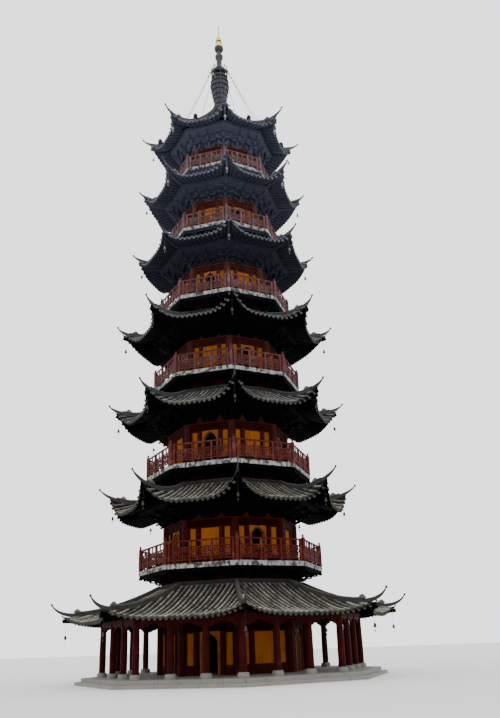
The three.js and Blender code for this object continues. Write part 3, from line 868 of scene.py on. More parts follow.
def rafters(storey):
    """Rafters under the boards: parallel in the middle of a side, and fanned towards the corners."""
    start = storey.wall
    root_half = start * TAN_HALF
    straight = FAN_FROM * root_half
    paths = []
    for lateral in row_laterals(storey, RAFTER_SPACING):
        spread = abs(lateral)
        if spread > straight:
            share = (spread - straight) / (eave_half(storey) - straight)
            spread = straight + share * (FAN_TO * root_half - straight)
        foot = math.copysign(spread, lateral)
        far = eave_reach(storey, lateral) * RAFTER_END
        path = []
        for share in np.linspace(0, 1, RAFTER_STATIONS):
            out = start + (far - start) * share
            across = foot + (lateral - foot) * share
            path.append((across, out, boards_height(storey, across, out) - RAFTER_DEPTH, 1.0))
        paths.extend(paths_at(EVERY_SIDE, path))
    return sweep(paths, RAFTER_WIDTH, RAFTER_DEPTH)


def hip_beams(storey):
    """The heavy beam under each hip, and the rings of purlins that the rafters lie on."""
    path = []
    for share in np.linspace(0, 1, HIP_BEAM_STATIONS):
        out = storey.wall + (storey.corner[0] * COS_HALF - storey.wall) * share
        height = boards_height(storey, out * TAN_HALF, out) - HIP_BEAM_DEPTH
        path.append((0.0, out / COS_HALF, height, 1.0 - HIP_BEAM_TAPER * share))
    beams = sweep(paths_at(EVERY_CORNER, path), HIP_BEAM_WIDTH, HIP_BEAM_DEPTH)
    shape = Shape()
    for share in PURLIN_PLACES:
        out = storey.wall + bracket_reach(storey) * share
        top = boards_height(storey, 0.0, out) - RAFTER_DEPTH
        shape.band(out - PURLIN / 2, out + PURLIN / 2, top - PURLIN, top + PURLIN / 4)
    return joined([beams, shape.mesh()])


# Ridges and what stands on them

# Courses of a hip ridge, as (width, height, how far above the tiles), the last one half round
RIDGE_COURSES = [(0.22, 0.12, 0.0), (0.15, 0.07, 0.12), (0.18, 0.07, 0.19)]
RIDGE_STATIONS = 9
HORN_SECTION = (0.11, 0.19)
HORN_STATIONS = 13
HORN_ROOT = 0.62
HORN_TAPER = 0.80
HORN_SWELL = 1.3
HORN_BEND = 0.45
TIP_BALL = 0.058


def hip_ridges(storey):
    """Courses of ridge tiles down each hip, with a round cap."""
    near = storey.root[0] + WALL_RIDGE_WIDTH / 2
    far = storey.corner[0] * COS_HALF
    outs = np.linspace(near, far, RIDGE_STATIONS)[:-1]
    layers = []
    for course, (width, height, above) in enumerate(RIDGE_COURSES):
        stations = [out for out in outs if course == 0 or out < far - HORN_ROOT / 2]
        path = [hip_place(storey, out, above) + (1.0,) for out in stations]
        rounded = course == len(RIDGE_COURSES) - 1
        layers.append(sweep(paths_at(EVERY_CORNER, path), width, height, half_round=rounded))
    return joined(layers)


def horns(storey):
    """The long thin horn that carries each hip ridge on, and sweeps up past the corner to its tip."""
    start = Vector(hip_place(storey, (storey.corner[0] - HORN_ROOT) * COS_HALF)[1:])
    pull = Vector(hip_place(storey, storey.corner[0] * COS_HALF)[1:])
    end = Vector((storey.tip[0], storey.tip[1] - HORN_SECTION[1] * (1 - HORN_TAPER)))
    pull.x += HORN_BEND * (end.x - pull.x)
    path = []
    for share in np.linspace(0, 1, HORN_STATIONS).tolist():
        place = start.lerp(pull, share).lerp(pull.lerp(end, share), share)
        path.append((0.0, place.x, place.y, 1 - HORN_TAPER * share ** HORN_SWELL))
    return sweep(paths_at(EVERY_CORNER, path), *HORN_SECTION)


def horn_tips(storey):
    """A ball on the tip of each horn."""
    shape = Shape()
    shape.ball(TIP_BALL, (0.0, storey.tip[0] - TIP_BALL / 2, storey.tip[1] - TIP_BALL / 2))
    return shape.turned(EVERY_CORNER)


# Courses of the ridge along the wall, counted from the head of the tiles: first dark old mortar
WALL_RIDGE = [
    (1, [(0, -0.05), (0.18, -0.10), (0.18, 0), (0, 0.04)]),
    (0, [(0, 0.04), (0.13, 0), (0.13, 0.11), (0, 0.11)]),
    (0, [(0, 0.11), (0.16, 0.11), (0.13, 0.17), (0, 0.19)]),
]


def wall_ridge(storey):
    """The ridge along the wall at the head of the roof."""
    shape = Shape()
    shape.courses(WALL_RIDGE, *storey.root)
    return shape


# Lobes of a scroll, as (along, middle's height, radius)
SCROLL_LOBES = [(0.0, 0.08, 0.10), (0.13, 0.07, 0.085), (-0.13, 0.06, 0.075), (0.04, 0.16, 0.07),
                (-0.06, 0.14, 0.06), (0.20, 0.04, 0.05)]
SCROLL_WIDTH = 0.12
LOBE_SEGMENTS = 12
EYE_SEGMENTS = 8
SCROLL_EYE = 0.45
SCROLL_EYE_WIDTH = 0.15
SCROLL_BEHIND = 0.70
SCROLL_ABOVE = 0.22
SCROLL_SIZE = (0.75, 0.75, 0.75)
SLOPE_STEP = 0.1


def scroll():
    """A cloud scroll of lime: round lobes side by side, with a raised eye in each."""
    shape = Shape()
    for along, middle, radius in SCROLL_LOBES:
        shape.blade(circle(radius, LOBE_SEGMENTS, along, middle), SCROLL_WIDTH)
        shape.blade(circle(SCROLL_EYE * radius, EYE_SEGMENTS, along, middle), SCROLL_EYE_WIDTH)
    return shape


def ridge_scrolls(storey):
    out = (storey.corner[0] - SCROLL_BEHIND) * COS_HALF
    rise = hip_place(storey, out)[2] - hip_place(storey, out - SLOPE_STEP)[2]
    lean = -math.atan2(rise, SLOPE_STEP / COS_HALF)
    return repeat(scroll(), places_at(EVERY_CORNER, hip_place(storey, out, SCROLL_ABOVE), lean, SCROLL_SIZE))


FIGURE_PROFILE = [(0, 0), (0.15, 0), (0.15, 0.07), (0.11, 0.09), (0.14, 0.16), (0.14, 0.24), (0.10, 0.27),
                  (0.12, 0.32), (0.08, 0.38), (0, 0.41)]
FIGURE_RADII = (3.8, 2.3)
FIGURE_ABOVE = 0.20


def ridge_figures(storey):
    """Small turned knobs on the hips of the top roof, near and far by turns."""
    shape = Shape()
    shape.lathe(FIGURE_PROFILE, KNOB_SEGMENTS)
    places = []
    for index, radius in enumerate(FIGURE_RADII):
        place = hip_place(storey, radius * COS_HALF, FIGURE_ABOVE)
        places.extend(places_at(EVERY_CORNER[index::2], place))
    return repeat(shape, places)


# Wind bells. Heights are counted from the bell's lower edge.

BELL_PROFILE = [(0, 0.02), (0.06, 0.0), (0.07, -0.01), (0.058, 0.05), (0.05, 0.13), (0.03, 0.17), (0, 0.18)]
BELL_ROD = 0.005
ROD_FOOT = 0.22
ROD_SEGMENTS = 6
CLAPPER = (-0.12, 0.03)
CLAPPER_SEGMENTS = 5
WIND_PLATE = [(-0.04, -0.12), (0, -0.22), (0.04, -0.12), (0, -0.09)]
PLATE_HALF = 0.006
BELL_DROP = 0.70
BELL_INSET = 0.18
BELL_BELOW = 0.30


def bell():
    """A cast bell on a rod, with its clapper and wind plate. The origin is the top of the rod."""
    shape = Shape()
    shape.lathe(moved(BELL_PROFILE, 0, -BELL_DROP), KNOB_SEGMENTS)
    shape.rod(BELL_ROD, ROD_FOOT - BELL_DROP, 0, ROD_SEGMENTS)
    shape.rod(BELL_ROD / 2, CLAPPER[0] - BELL_DROP, CLAPPER[1] - BELL_DROP, CLAPPER_SEGMENTS)
    shape.prism(moved(WIND_PLATE, 0, -BELL_DROP), -PLATE_HALF, PLATE_HALF)
    return shape


def wind_bells(storey):
    radius = storey.corner[0] - BELL_INSET
    height = hip_place(storey, radius * COS_HALF)[2] - BELL_BELOW
    return repeat(bell(), places_at(EVERY_CORNER, (0.0, radius, height)))


# Bracket sets: arms that step out and up from a cap block

BRACKET_REACH = 1.28
BRACKET_RISE = 0.80

# Tiers of a set: foot, middle of the cross arm, tip of the outward arm, half length of the cross arm
BRACKET_TIERS = [(0.08, 0.10, 0.40, 0.34), (0.31, 0.40, 0.80, 0.48), (0.54, 0.80, 1.20, 0.60)]
ARM = 0.10
ARM_DEPTH = 0.13
CUP_LOW = 0.055
CUP_HIGH = 0.085
CUP_HEIGHT = 0.09
CAP_OUT = 0.12
CAP_SIZE = 1.5


def add_cup(shape, lateral, out, foot, scale=1.0):
    """A small bearing block, wider at its top."""
    points = []
    for z, half in ((foot, CUP_LOW * scale), (foot + CUP_HEIGHT * scale, CUP_HIGH * scale)):
        points.extend((lateral + x * half, -out - y * half, z) for y in (-1, 1) for x in (-1, 1))
    shape.add(points, BLOCK_FACES)


def bracket_set():
    """One set at full size. The origin is on the wall's face, at the top of the wall plate."""
    shape = Shape()
    add_cup(shape, 0.0, CAP_OUT, 0.0, CAP_SIZE)
    for foot, out, reach, half in BRACKET_TIERS:
        top, chin = foot + ARM_DEPTH, foot + ARM_DEPTH / 2
        shape.blade([(0, foot), (reach - ARM, foot), (reach, chin), (reach, top), (0, top)], ARM)
        flat = half - ARM
        bow = [(-half, chin), (-flat, foot), (flat, foot), (half, chin), (half, top), (-half, top)]
        shape.prism(bow, out - ARM / 2, out + ARM / 2)
        for lateral in (-half + CUP_HIGH, 0.0, half - CUP_HIGH):
            add_cup(shape, lateral, out, top)
        add_cup(shape, 0.0, reach - CUP_HIGH, top)
    return shape


def bracket_sets(foot, apothem, reach, rise):
    """Sets round the tower, on every side and corner."""
    places = []
    for turn in SIDES_AND_CORNERS:
        stretch = 1 / COS_HALF if turn % 1 else 1.0
        size = (1, reach * stretch / BRACKET_REACH, rise / BRACKET_RISE)
        places.extend(places_at([turn], (0.0, apothem * stretch, foot), size=size))
    return repeat(bracket_set(), places)


def bracket_reach(storey):
    """How far the bracket sets under an eave step out from the wall."""
    return (storey.eave[0] - storey.wall) / 2


def bracket_head(storey):
    """Height of the purlin's underside, where the bracket sets under an eave end."""
    out = storey.wall + bracket_reach(storey)
    return boards_height(storey, 0.0, out) - RAFTER_DEPTH - PURLIN


def eave_brackets(storey):
    foot = storey.floor + storey.ledge
    return bracket_sets(foot, storey.wall, bracket_reach(storey), bracket_head(storey) - foot)


COVE_LIFT = 0.06
COVE_DEPTH = 0.10
COVE_OUT = 0.03


def cove(storey):
    """The sloping board behind the bracket sets, from above the humps to the eave's purlin."""
    near, far = storey.wall + COVE_OUT, storey.wall + bracket_reach(storey)
    foot = storey.floor + storey.ledge + storey.hump + COVE_LIFT
    head = bracket_head(storey)
    shape = Shape()
    shape.ring([(near, foot), (far, head), (far, head + COVE_DEPTH), (near, foot + COVE_DEPTH)])
    return shape


# Timber frame, door trims and walls. Heights are shares of the ledge's height above the floor, and
# widths are shares of half a side.

COLUMN_RADIUS = 0.17
COLUMN_OUT = 0.04
BAND = (0.375, 0.59)
OUTER_BAND = (0.82, 1.0)
BAND_REACH = 0.03
HALF_COLUMN = 0.075
HALF_COLUMN_SEGMENTS = 12
HEAD = 0.83
HEAD_REACH = 0.09
HEAD_BAR = 0.03
LEDGE_DEPTH = 0.05
LEDGE_REACH = 0.16
SILL = 0.19
SILL_REACH = 0.05
INTO_WALL = 0.01
DOOR_HALF = 0.12
ARCH = [(1.0, 0.59), (0.99, 0.63), (0.93, 0.665), (0.80, 0.69), (0.72, 0.70), (0.66, 0.72), (0.52, 0.742),
        (0.40, 0.75), (0.32, 0.765), (0.15, 0.782), (0.0, 0.79)]
TRIM_WIDTH = 0.06
TRIM_REACH = (-0.02, 0.06)
HUMP_MIDDLE = 0.47
HUMP_HALF = 0.24
HUMP_SHARES = [(-1.0, 0.0), (-0.75, 0.22), (-0.45, 0.42), (-0.22, 0.80), (0.0, 1.0), (0.22, 0.80),
               (0.45, 0.42), (0.75, 0.22), (1.0, 0.0)]
HUMP_BOARD = (0.02, 0.05)
BOARD_GAP = 0.02


def has_door(storey, side):
    return side % 2 == storey.level % 2


def face_timber(storey, side):
    """Boards and posts on one side of the wall, made for the side that faces -Y."""
    shape = Shape()
    wall, floor = storey.wall, storey.floor
    half = wall * TAN_HALF
    sill, bar, head = (floor + share * storey.ledge for share in (SILL, HEAD - HEAD_BAR, HEAD))
    reach = (wall - INTO_WALL, wall + BAND_REACH)
    panels = [(BAND[1], OUTER_BAND[0]), (-OUTER_BAND[0], -BAND[1])]
    if not has_door(storey, side):
        panels.append((-BAND[0], BAND[0]))
    for left, right in panels:
        panel = (left * half, right * half)
        shape.block(panel, (wall - INTO_WALL, wall + SILL_REACH), (floor, sill))
        shape.block(panel, reach, (bar, head))
    for sign in (-1, 1):
        for near, far in (BAND, OUTER_BAND):
            shape.block(sorted((sign * near * half, sign * far * half)), reach, (floor, head))
        post = (sum(BAND) / 2) * half * sign
        shape.rod(HALF_COLUMN, floor, head, HALF_COLUMN_SEGMENTS, (post, -wall - BAND_REACH))
    return shape


def timber(storey):
    """The red frame round a storey: its sides, corner columns, head beam and thin ledge."""
    shape = Shape()
    for side in EVERY_SIDE:
        shape.take(face_timber(storey, side).turned([side]))
    wall, floor = storey.wall, storey.floor
    head, top = floor + HEAD * storey.ledge, floor + storey.ledge
    beam_top = top - LEDGE_DEPTH
    shape.band(wall, wall + HEAD_REACH, head, beam_top, 1)
    shape.band(wall, wall + LEDGE_REACH, beam_top, top, 2)
    column = Shape()
    middle = (0.0, -(wall + COLUMN_OUT) / COS_HALF)
    column.rod(COLUMN_RADIUS, floor, beam_top, COLUMN_SEGMENTS, middle)
    shape.take(column.turned(EVERY_CORNER))
    return shape


def door_trims(storey):
    """A cusped board round the arch of each door."""
    half = DOOR_HALF * storey.wall
    shape = Shape()
    inner = [(half * x, storey.floor + z * storey.ledge) for x, z in ARCH]
    outer = [(x + TRIM_WIDTH * x / half, z + TRIM_WIDTH * (1 - x / half)) for x, z in inner]
    foot = [(half, storey.floor), (half + TRIM_WIDTH, storey.floor)]
    near, far = (storey.wall + reach for reach in TRIM_REACH)
    for sign in (-1, 1):
        shape.prism([(sign * x, z) for x, z in [foot[0], *inner, *reversed(outer), foot[1]]], near, far)
    return shape.turned([side for side in EVERY_SIDE if has_door(storey, side)])


def bracket_boards(storey):
    """Near-black boards behind the bracket sets, standing for the bracket arms in painted shade, cut out
    in two humps a side. In the humps shows a slab on the wall, in ochre darkened as painted shade.
    """
    wall = storey.wall
    half = wall * TAN_HALF
    near, far = (wall + reach for reach in HUMP_BOARD)
    low = storey.floor + storey.ledge
    high = boards_height(storey, 0.0, far) - BOARD_GAP
    notches = []
    for middle in (-HUMP_MIDDLE, HUMP_MIDDLE):
        notches.extend((half * (middle + HUMP_HALF * x), low + storey.hump * z) for x, z in HUMP_SHARES)
    shape = Shape()
    shape.prism([(-half, high), (-half, low), *notches, (half, low), (half, high)], near, far)
    # A slab on the wall's face in ochre darkened as painted shade, seen through the humps.
    shape.block((-half, half), (wall - INTO_WALL, wall + INTO_WALL), (low, high), 1)
    return shape.turned(EVERY_SIDE)


# Balcony and railing

SLAB = 0.37

# Deck and underside boards, as (how far inside the edge, low, high, finish number)
BALCONY_PLATES = [(0.03, -0.06, 0.0, 0), (0.16, -0.35, -0.29, 1)]

# Fascia, moulding and board under it, counted from the floor's edge
BALCONY_EDGE = [
    (0, [(-0.06, -0.22), (0, -0.22), (0, -0.03), (-0.06, -0.03)]),
    (1, [(-0.16, -0.29), (-0.05, -0.29), (-0.05, -0.22), (-0.16, -0.22)]),
    (1, [(-0.20, -0.37), (-0.11, -0.37), (-0.08, -0.29), (-0.20, -0.29)]),
]

# Steps of the block under each corner, as (half width, low, high), and how far in they start
CORNER_STEPS = [(0.13, -0.28, -0.22), (0.09, -0.34, -0.28), (0.05, -0.42, -0.34)]
CORNER_BLOCK = 0.20
BRACKET_FOOT = 0.20
BRACKET_INSET = 0.20
SKIRT = 0.03


def balcony_floor(storey):
    """The deck, its limed fascia board, and the dark moulding and boards under it."""
    edge, floor = storey.balcony, storey.floor
    shape = Shape()
    for inset, low, high, finish in BALCONY_PLATES:
        shape.plate(edge - inset, floor + low, floor + high, finish)
    shape.courses(BALCONY_EDGE, edge, floor)
    corner = Shape()
    radius = edge / COS_HALF
    for half, low, high in CORNER_STEPS:
        reach = (radius - CORNER_BLOCK, radius - half * TAN_HALF)
        corner.block((-half, half), reach, (floor + low, floor + high), 1)
    shape.take(corner.turned(EVERY_CORNER))
    return shape


def balcony_brackets(storey, below):
    """Small bracket sets between the ridge of the roof below and the balcony."""
    foot = storey.floor - ROOF_BELOW_FLOOR + BRACKET_FOOT
    reach = storey.balcony - below.wall - BRACKET_INSET
    return bracket_sets(foot, below.wall + SKIRT, reach, storey.floor - SLAB - foot)


def wall_skirt(storey, below):
    """Dark red-brown boards on the wall between the roof below and the balcony."""
    shape = Shape()
    shape.band(below.wall, below.wall + SKIRT, storey.floor - ROOF_BELOW_FLOOR, storey.floor - SLAB)
    return shape


RAIL_INSET = 0.07
RAIL_SEGMENTS = 6
HANDRAIL = 0.09
MID_RAIL = 0.07
MID_RAIL_DROP = 0.34
FOOT_RAIL = 0.07
FOOT_RAIL_RISE = 0.14
POST = 0.15
FLANK_POST = 0.10
FLANK_FROM_CORNER = 0.17
POST_ABOVE = 0.03
FRET_CELL = 0.31
FRET_BAR = 0.042
FRET_ARM = 0.30
STRUT = 0.05
BAY_POST = 0.30
KNOB_PROFILE = [(0, 0.03), (0.05, 0.03), (0.05, 0.05), (0.035, 0.06), (0.05, 0.09), (0.055, 0.13),
                (0.035, 0.17), (0.015, 0.20), (0, 0.21)]

# Bars of one fret cell, as pairs of limits across and up, in shares of the cell
FRET_FAR = 1 - FRET_ARM
FRET_BARS = [((0, FRET_FAR), (FRET_FAR, FRET_FAR)), ((FRET_FAR, FRET_FAR), (FRET_ARM, 1)),
             ((FRET_ARM, 1), (FRET_ARM, FRET_ARM)), ((FRET_ARM, FRET_ARM), (0, FRET_FAR)), ((1, 1), (0, 1))]


def fret_cell(shape, lateral, out, height):
    """One pinwheel of the railing's fret: four bars that turn round a square, and one beside them."""
    for bar in FRET_BARS:
        limits = []
        for (low, high), (start, end) in zip((lateral, height), bar):
            near, far = low + (high - low) * start, low + (high - low) * end
            if far - near < FRET_BAR:
                near, far = near - FRET_BAR / 2, near + FRET_BAR / 2
            limits.append((near, far))
        shape.block(limits[0], (out - FRET_BAR / 2, out + FRET_BAR / 2), limits[1])


def upright(shape, middle, out, width, low, high):
    """A square post."""
    shape.block((middle - width / 2, middle + width / 2), (out - width / 2, out + width / 2), (low, high))


def railing_side(storey):
    """Posts, struts and fret of the side that faces -Y."""
    out = storey.balcony - RAIL_INSET
    half = out * TAN_HALF
    floor = storey.floor
    top, middle_rail = floor + storey.rail - HANDRAIL / 2, floor + storey.rail - MID_RAIL_DROP
    levels = np.linspace(floor + FOOT_RAIL_RISE + FOOT_RAIL / 2, middle_rail - MID_RAIL / 2, 3).tolist()
    shape = Shape()
    posts = [FLANK_FROM_CORNER - half, -BAY_POST * half, BAY_POST * half, half - FLANK_FROM_CORNER]
    for post in posts:
        upright(shape, post, out, FLANK_POST, floor, top)
    for near, far in zip(posts, posts[1:]):
        upright(shape, (near + far) / 2, out, STRUT, middle_rail, top)
        near, far = near + FLANK_POST / 2, far - FLANK_POST / 2
        cells = max(1, round((far - near) / FRET_CELL))
        for cell in range(cells):
            left = near + (far - near) * cell / cells
            for height in zip(levels, levels[1:]):
                fret_cell(shape, (left, left + (far - near) / cells), out, height)
    return shape


def railing(storey):
    out = storey.balcony - RAIL_INSET
    top = storey.floor + storey.rail
    shape = railing_side(storey).turned(EVERY_SIDE)
    for middle, size in ((top - HANDRAIL / 2, HANDRAIL), (top - MID_RAIL_DROP, MID_RAIL),
                         (storey.floor + FOOT_RAIL_RISE, FOOT_RAIL)):
        shape.ring(circle(size / 2, RAIL_SEGMENTS, out, middle))
    corner = Shape()
    radius = out / COS_HALF
    upright(corner, 0.0, radius, POST, storey.floor, top + POST_ABOVE)
    corner.lathe(moved(KNOB_PROFILE, 0, top), KNOB_SEGMENTS, centre=(0.0, -radius))
    shape.take(corner.turned(EVERY_CORNER))
    return shape


# Finial and its chains

FINIAL_SEGMENTS = 28
MAST = (0.13, 33.70, 36.60)

# Middle height and radius of each ring, and the size of its rim and spokes
RINGS = [(33.88, 0.39), (34.24, 0.45), (34.58, 0.51), (34.94, 0.57), (35.29, 0.61), (35.66, 0.59),
         (36.02, 0.54), (36.42, 0.55)]
RING_HEIGHT = 0.13
RING_WIDTH = 0.10
RING_BEVEL = 0.02
RING_EDGE = 0.03
SPOKES = 8
SPOKE = 0.05
SPOKE_START = 0.05

# Turned iron: foot, core, canopy, neck with its bead, and cup, as (finish number, profile)
IRON_PARTS = [
    (0, [(0, 33.22), (0.56, 33.22), (0.56, 33.36), (0.50, 33.40), (0.50, 33.56), (0.40, 33.64),
         (0.36, 33.76), (0, 33.76)]),
    (0, [(0, 33.70), (0.32, 33.72), (0.36, 33.95), (0.42, 34.30), (0.47, 34.65), (0.52, 35.00),
         (0.55, 35.30), (0.53, 35.62), (0.46, 35.92), (0.28, 36.10), (0, 36.10)]),
    (0, [(0, 36.56), (0.34, 36.58), (0.42, 36.61), (0.42, 36.68), (0.40, 36.70), (0.24, 36.71),
         (0.20, 36.80), (0, 36.80)]),
    (1, [(0, 36.78), (0.26, 36.80), (0.20, 36.96), (0.17, 37.15), (0.17, 37.54), (0.20, 37.60),
         (0.245, 37.68), (0.26, 37.78), (0.255, 37.88), (0.21, 37.96), (0.155, 38.01), (0.155, 38.26),
         (0, 38.27)]),
    (2, [(0, 38.24), (0.19, 38.25), (0.24, 38.30), (0.28, 38.38), (0.295, 38.46), (0.29, 38.57),
         (0, 38.57)]),
]

# Turned gilding: lower bulb, tarnished band and upper bulb
GILT_PARTS = [
    (0, [(0, 38.56), (0.24, 38.56), (0.255, 38.62), (0.255, 38.74), (0.24, 38.86), (0.205, 38.98),
         (0, 38.98)]),
    (1, [(0, 38.95), (0.205, 38.96), (0.215, 39.01), (0.21, 39.08), (0.182, 39.13), (0, 39.13)]),
    (0, [(0, 39.11), (0.178, 39.12), (0.182, 39.18), (0.176, 39.28), (0.15, 39.38), (0.10, 39.48),
         (0.06, 39.55), (0.035, 39.65), (0, 39.67)]),
]
SPIRE_PROFILE = [(0, 39.62), (0.03, 39.63), (0.02, 39.76), (0.018, 40.20), (0.03, 40.25), (0.03, 40.35),
                 (0.015, 40.40), (0, 40.41)]
SPIRE_SEGMENTS = 12


def turned_parts(parts):
    shape = Shape()
    for finish, profile in parts:
        shape.lathe(profile, FINIAL_SEGMENTS, finish)
    return shape


def finial_iron():
    """The iron foot, mast, eight spoked rings, canopy, neck with its bead, and cup."""
    shape = turned_parts(IRON_PARTS)
    shape.rod(*MAST, COLUMN_SEGMENTS)
    for middle, radius in RINGS:
        low, high = middle - RING_HEIGHT / 2, middle + RING_HEIGHT / 2
        inner = radius - RING_WIDTH
        near, far = inner + RING_BEVEL, radius - RING_BEVEL
        rim = [(inner, low + RING_BEVEL), (near, low), (far, low), (radius, low + RING_EDGE),
               (radius, high - RING_EDGE), (far, high), (near, high), (inner, high - RING_BEVEL)]
        shape.carried(rim, [SIDES * step / FINIAL_SEGMENTS for step in range(FINIAL_SEGMENTS)])
        spoke = Shape()
        spoke.block((-SPOKE / 2, SPOKE / 2), (SPOKE_START, near), (middle - SPOKE, middle + SPOKE))
        shape.take(spoke.turned([SIDES * step / SPOKES for step in range(SPOKES)]))
    return shape


def finial_gilding():
    """The gilt bulbs with a tarnished band between them, and the tarnished spire."""
    shape = turned_parts(GILT_PARTS)
    shape.lathe(SPIRE_PROFILE, SPIRE_SEGMENTS, 1)
    return shape


LINK_LENGTH = 0.10
LINK_WIDTH = 0.034
LINK_ROD = 0.007
LINK_POINTS = 8
LINK_PITCH = 0.08
CHAIN_FROM = (0.46, 36.88)
CHAIN_RADIUS = 3.0
CHAIN_ABOVE = 0.24
CHAIN_SAG = 0.18
HOOK = [(0.30, 36.72), (0.40, 36.80), (0.47, 36.92), (0.50, 37.04)]
HOOK_WIDTH = 0.035
HOOK_TAPER = 0.15
BEADS = (0.02, 0.06, 0.11)
BEAD_RADIUS = 0.05


def chain_link():
    """An oval link that lies along the way out, about its own middle."""
    loops = []
    for x, y in circle(1.0, LINK_POINTS):
        loops.append([((LINK_WIDTH / 2 + beside) * x, (LINK_LENGTH / 2 + beside) * y, z)
                      for beside, z in circle(LINK_ROD, 4)])
    shape = Shape()
    shape.skin(loops, closed=True)
    return shape


def chain_ends():
    """The ends of a chain, from the canopy to the hips of the top roof, as (radius, height)."""
    end = hip_place(STOREYS[TOP], CHAIN_RADIUS * COS_HALF, CHAIN_ABOVE)
    return Vector(CHAIN_FROM), Vector((CHAIN_RADIUS, end[2]))


def chain_place(share):
    """A place on a chain, as (lateral, out, height) on the corner that faces -Y."""
    start, end = chain_ends()
    place = start.lerp(end, share)
    return (0.0, place.x, place.y - 4 * CHAIN_SAG * share * (1 - share))


def stay_chains():
    """Chains of oval links, each link turned a quarter from the one before."""
    start, end = chain_ends()
    count = round((end - start).length / LINK_PITCH)
    places = []
    for corner in EVERY_CORNER:
        for link in range(count + 1):
            share = link / count
            slope = (end.y - start.y - 4 * CHAIN_SAG * (1 - 2 * share)) / (end.x - start.x)
            facing = (Matrix.Rotation(corner * TURN, 3, "Z") @ Matrix.Rotation(-math.atan(slope), 3, "X")
                      @ Matrix.Rotation(link % 2 * math.pi / 2, 3, "Y"))
            places.append((on_side(chain_place(share), corner), tuple(facing.to_euler()), (1, 1, 1)))
    return repeat(chain_link(), places)


def stay_hooks():
    """Curved arms on the canopy that the chains hang from, and three beads on each chain."""
    path = [(0.0, radius, height, 1.0 - HOOK_TAPER * i) for i, (radius, height) in enumerate(HOOK)]
    arms = sweep(paths_at(EVERY_CORNER, path), HOOK_WIDTH, HOOK_WIDTH)
    beads = Shape()
    for share in BEADS:
        beads.ball(BEAD_RADIUS, chain_place(share))
    return joined([arms, beads.turned(EVERY_CORNER).mesh()])


# Stone base and the gallery round the ground storey

BASE_COURSES = [(7.50, 0.0, 0.14), (7.20, 0.14, 0.30)]
KERB_DEPTH = 0.42
BLOCK_LENGTH = 0.9
STONE_JOINT = 0.012
JOINT_DEPTH = 0.01
GALLERY = 5.75
GALLERY_BEAM = 0.32
GALLERY_BAYS = 3
BAY = 2 * GALLERY * TAN_HALF / GALLERY_BAYS
BAY_STARTS = [(bay - GALLERY_BAYS / 2) * BAY for bay in range(GALLERY_BAYS)]
GALLERY_COLUMN = 0.15
COLUMN_FOOT = 0.50
COLUMN_SWELL = (0.156, 1.2)
COLUMN_HEAD = 0.135
DRUM_PROFILE = [(0, 0.30), (0.24, 0.30), (0.25, 0.36), (0.24, 0.46), (0.19, 0.50), (0, 0.50)]
DRUM_SEGMENTS = 20
CORBEL = [(0.10, 0), (0.62, 0), (0.60, -0.06), (0.40, -0.10), (0.30, -0.17), (0.14, -0.20), (0.10, -0.30)]
CORBEL_HALF = 0.03

# Heights of the gallery's beam, and half its width there
BEAM_STEPS = [(0.0, 0.20, 0.10), (0.20, 0.25, 0.16), (0.25, GALLERY_BEAM, 0.12)]


def base_stones():
    """Kerb stones round each course of the base, round a paved heart."""
    shape = Shape()
    for radius, low, high in BASE_COURSES:
        edge = radius * COS_HALF
        inner = edge - KERB_DEPTH
        side = Shape()
        count = round(2 * edge * TAN_HALF / BLOCK_LENGTH)
        for block in range(count):
            ends = ((block / count * 2 - 1, STONE_JOINT / 2), ((block + 1) / count * 2 - 1, -STONE_JOINT / 2))
            side.add([(end * out * TAN_HALF + gap, -out, z)
                      for z in (low, high) for out in (inner, edge) for end, gap in ends], BLOCK_FACES)
        shape.take(side.turned(EVERY_SIDE))
        shape.plate(inner - STONE_JOINT, low, high, 1)
        shape.plate(edge - JOINT_DEPTH, low, high - STONE_JOINT, 2)
    return shape


def gallery_columns(storey):
    """Round columns and their beam, with a shaped bracket on each side of a column."""
    top = boards_height(storey, 0.0, GALLERY + GALLERY_COLUMN) - RAFTER_DEPTH
    under = top - GALLERY_BEAM
    side = Shape()
    for left in BAY_STARTS:
        column = [(0, COLUMN_FOOT), (GALLERY_COLUMN, COLUMN_FOOT), COLUMN_SWELL, (COLUMN_HEAD, top), (0, top)]
        side.lathe(column, COLUMN_SEGMENTS, centre=(left, -GALLERY))
        for post, sign in ((left, 1), (left + BAY, -1)):
            corbel = [(post + sign * x, under + z) for x, z in CORBEL]
            side.prism(corbel, GALLERY - CORBEL_HALF, GALLERY + CORBEL_HALF)
    shape = side.turned(EVERY_SIDE)
    for low, high, reach in BEAM_STEPS:
        shape.band(GALLERY - reach, GALLERY + reach, under + low, under + high)
    return shape


def column_drums():
    """Turned stone drums under the gallery's columns."""
    side = Shape()
    for left in BAY_STARTS:
        side.lathe(DRUM_PROFILE, DRUM_SEGMENTS, centre=(left, -GALLERY))
    return side.turned(EVERY_SIDE)


# The whole tower

def add_pieces(number, pieces):
    """Adds pieces of a storey, as (name, shape, finishes, slot, smoothing angle, replaced nodes)."""
    for name, made, finishes, slot, smooth, replaced in pieces:
        add_piece(f"{name}_{number}", made, finishes, smooth, [f"{node}_{number}" for node in replaced])


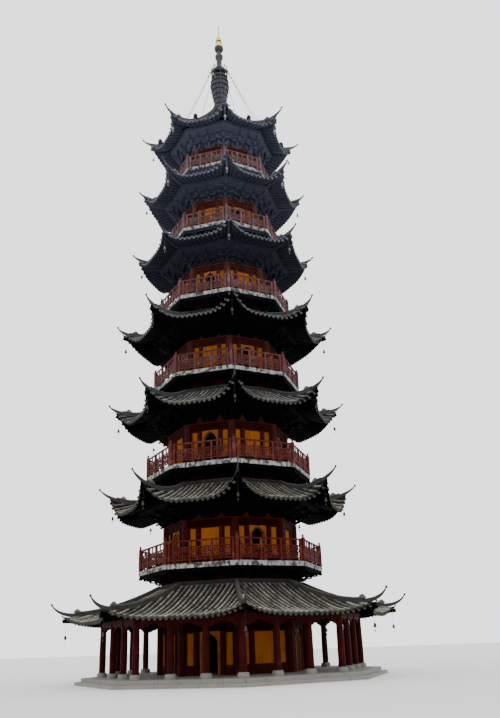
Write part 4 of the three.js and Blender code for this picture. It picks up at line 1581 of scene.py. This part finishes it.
def build_roof(storey, chance):
    rows, ends = tile_rows(storey, chance)
    add_pieces(storey.number, [
        ("roof_boards", roof_sheet(storey), ["pan", "dark"], "roof_tile", 40, ["roof"]),
        ("tile_rows", rows, ["tile"], "roof_tile", 50, []),
        ("end_tiles", repeat(end_tile(), ends + corner_tiles(storey)), ["rim"], "roof_tile", None, []),
        ("drip_tiles", repeat(drip_tile(), ends), ["rim"], "roof_tile", None, []),
        ("rafters", rafters(storey), ["dark"], "dark_timber", None, []),
        ("hip_beams", hip_beams(storey), ["dark"], "dark_timber", None, []),
        ("hip_ridges", hip_ridges(storey), ["ridge"], "roof_tile", 50, ["ridges"]),
        ("horns", horns(storey), ["ridge"], "roof_tile", 50, []),
        ("horn_tips", horn_tips(storey), ["ridge"], "roof_tile", 60, []),
        ("wall_ridge", wall_ridge(storey), ["tile", "mortar"], "roof_tile", None, []),
        ("ridge_scrolls", ridge_scrolls(storey), ["lime"], "roof_tile", 50, []),
        ("wind_bells", wind_bells(storey), ["pewter"], "cast_iron", 50, []),
    ])


def build_storey(storey):
    number = storey.number
    frames = ["frame"] if storey.level else []
    add_pieces(number, [
        ("timber", timber(storey), ["red", "beam", "ledge"], "red_timber", 40, frames),
        ("door_trims", door_trims(storey), ["tan"], "red_timber", 40, []),
        ("bracket_boards", bracket_boards(storey), ["dark", "ochre in painted shade"], "dark_timber", None, []),
        ("eave_brackets", eave_brackets(storey), ["dark"], "dark_timber", None, []),
        ("cove", cove(storey), ["dark"], "dark_timber", None, []),
    ])
    if storey.level:
        below = STOREYS[storey.level - 1]
        add_pieces(number, [
            ("balcony_floor", balcony_floor(storey), ["board", "dark"], "grey_timber", None, ["balcony"]),
            ("balcony_brackets", balcony_brackets(storey, below), ["dark"], "dark_timber", None, []),
            ("wall_skirt", wall_skirt(storey, below), ["beam"], "red_timber", None, []),
        ])
        add_piece(f"railing_{number}_timber", railing(storey), ["rail"], 40,
                  [f"railing_{number}"])
    finish_node(f"wall_{number}", "shaded ochre" if storey.level == TOP else "ochre")


def finish_node(name, finish):
    """Gives a node of the model its finish."""
    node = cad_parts[name]
    node.data.materials.clear()
    node.data.materials.append(FINISH[finish])


def build_finial():
    add_piece("ridge_figures", ridge_figures(STOREYS[TOP]), ["tile"], 50)
    add_piece("finial_iron", finial_iron(), ["iron", "neck", "cup"], 40,
              ["finial_base", "finial_rings", "finial_neck"])
    add_piece("finial_gilding", finial_gilding(), ["gilt", "tarnish"], 50, ["finial_gourd"])
    add_piece("stay_links", stay_chains(), ["iron"], 60, ["stay_chains"])
    add_piece("stay_hooks", stay_hooks(), ["iron"], 60)


def build_ground():
    add_piece("base_stones", base_stones(), ["granite", "granite", "mortar"],
              replaces=["base_platform"])
    add_piece("gallery_columns", gallery_columns(STOREYS[0]), ["red"], 40, ["gallery_frame"])
    add_piece("column_drums", column_drums(), ["granite"], 40)


def build_pagoda():
    chance = random.Random(SEED)
    build_ground()
    for storey in STOREYS:
        build_storey(storey)
        build_roof(storey, chance)
    build_finial()


add_camera()
add_light()
add_floor()
build_pagoda()
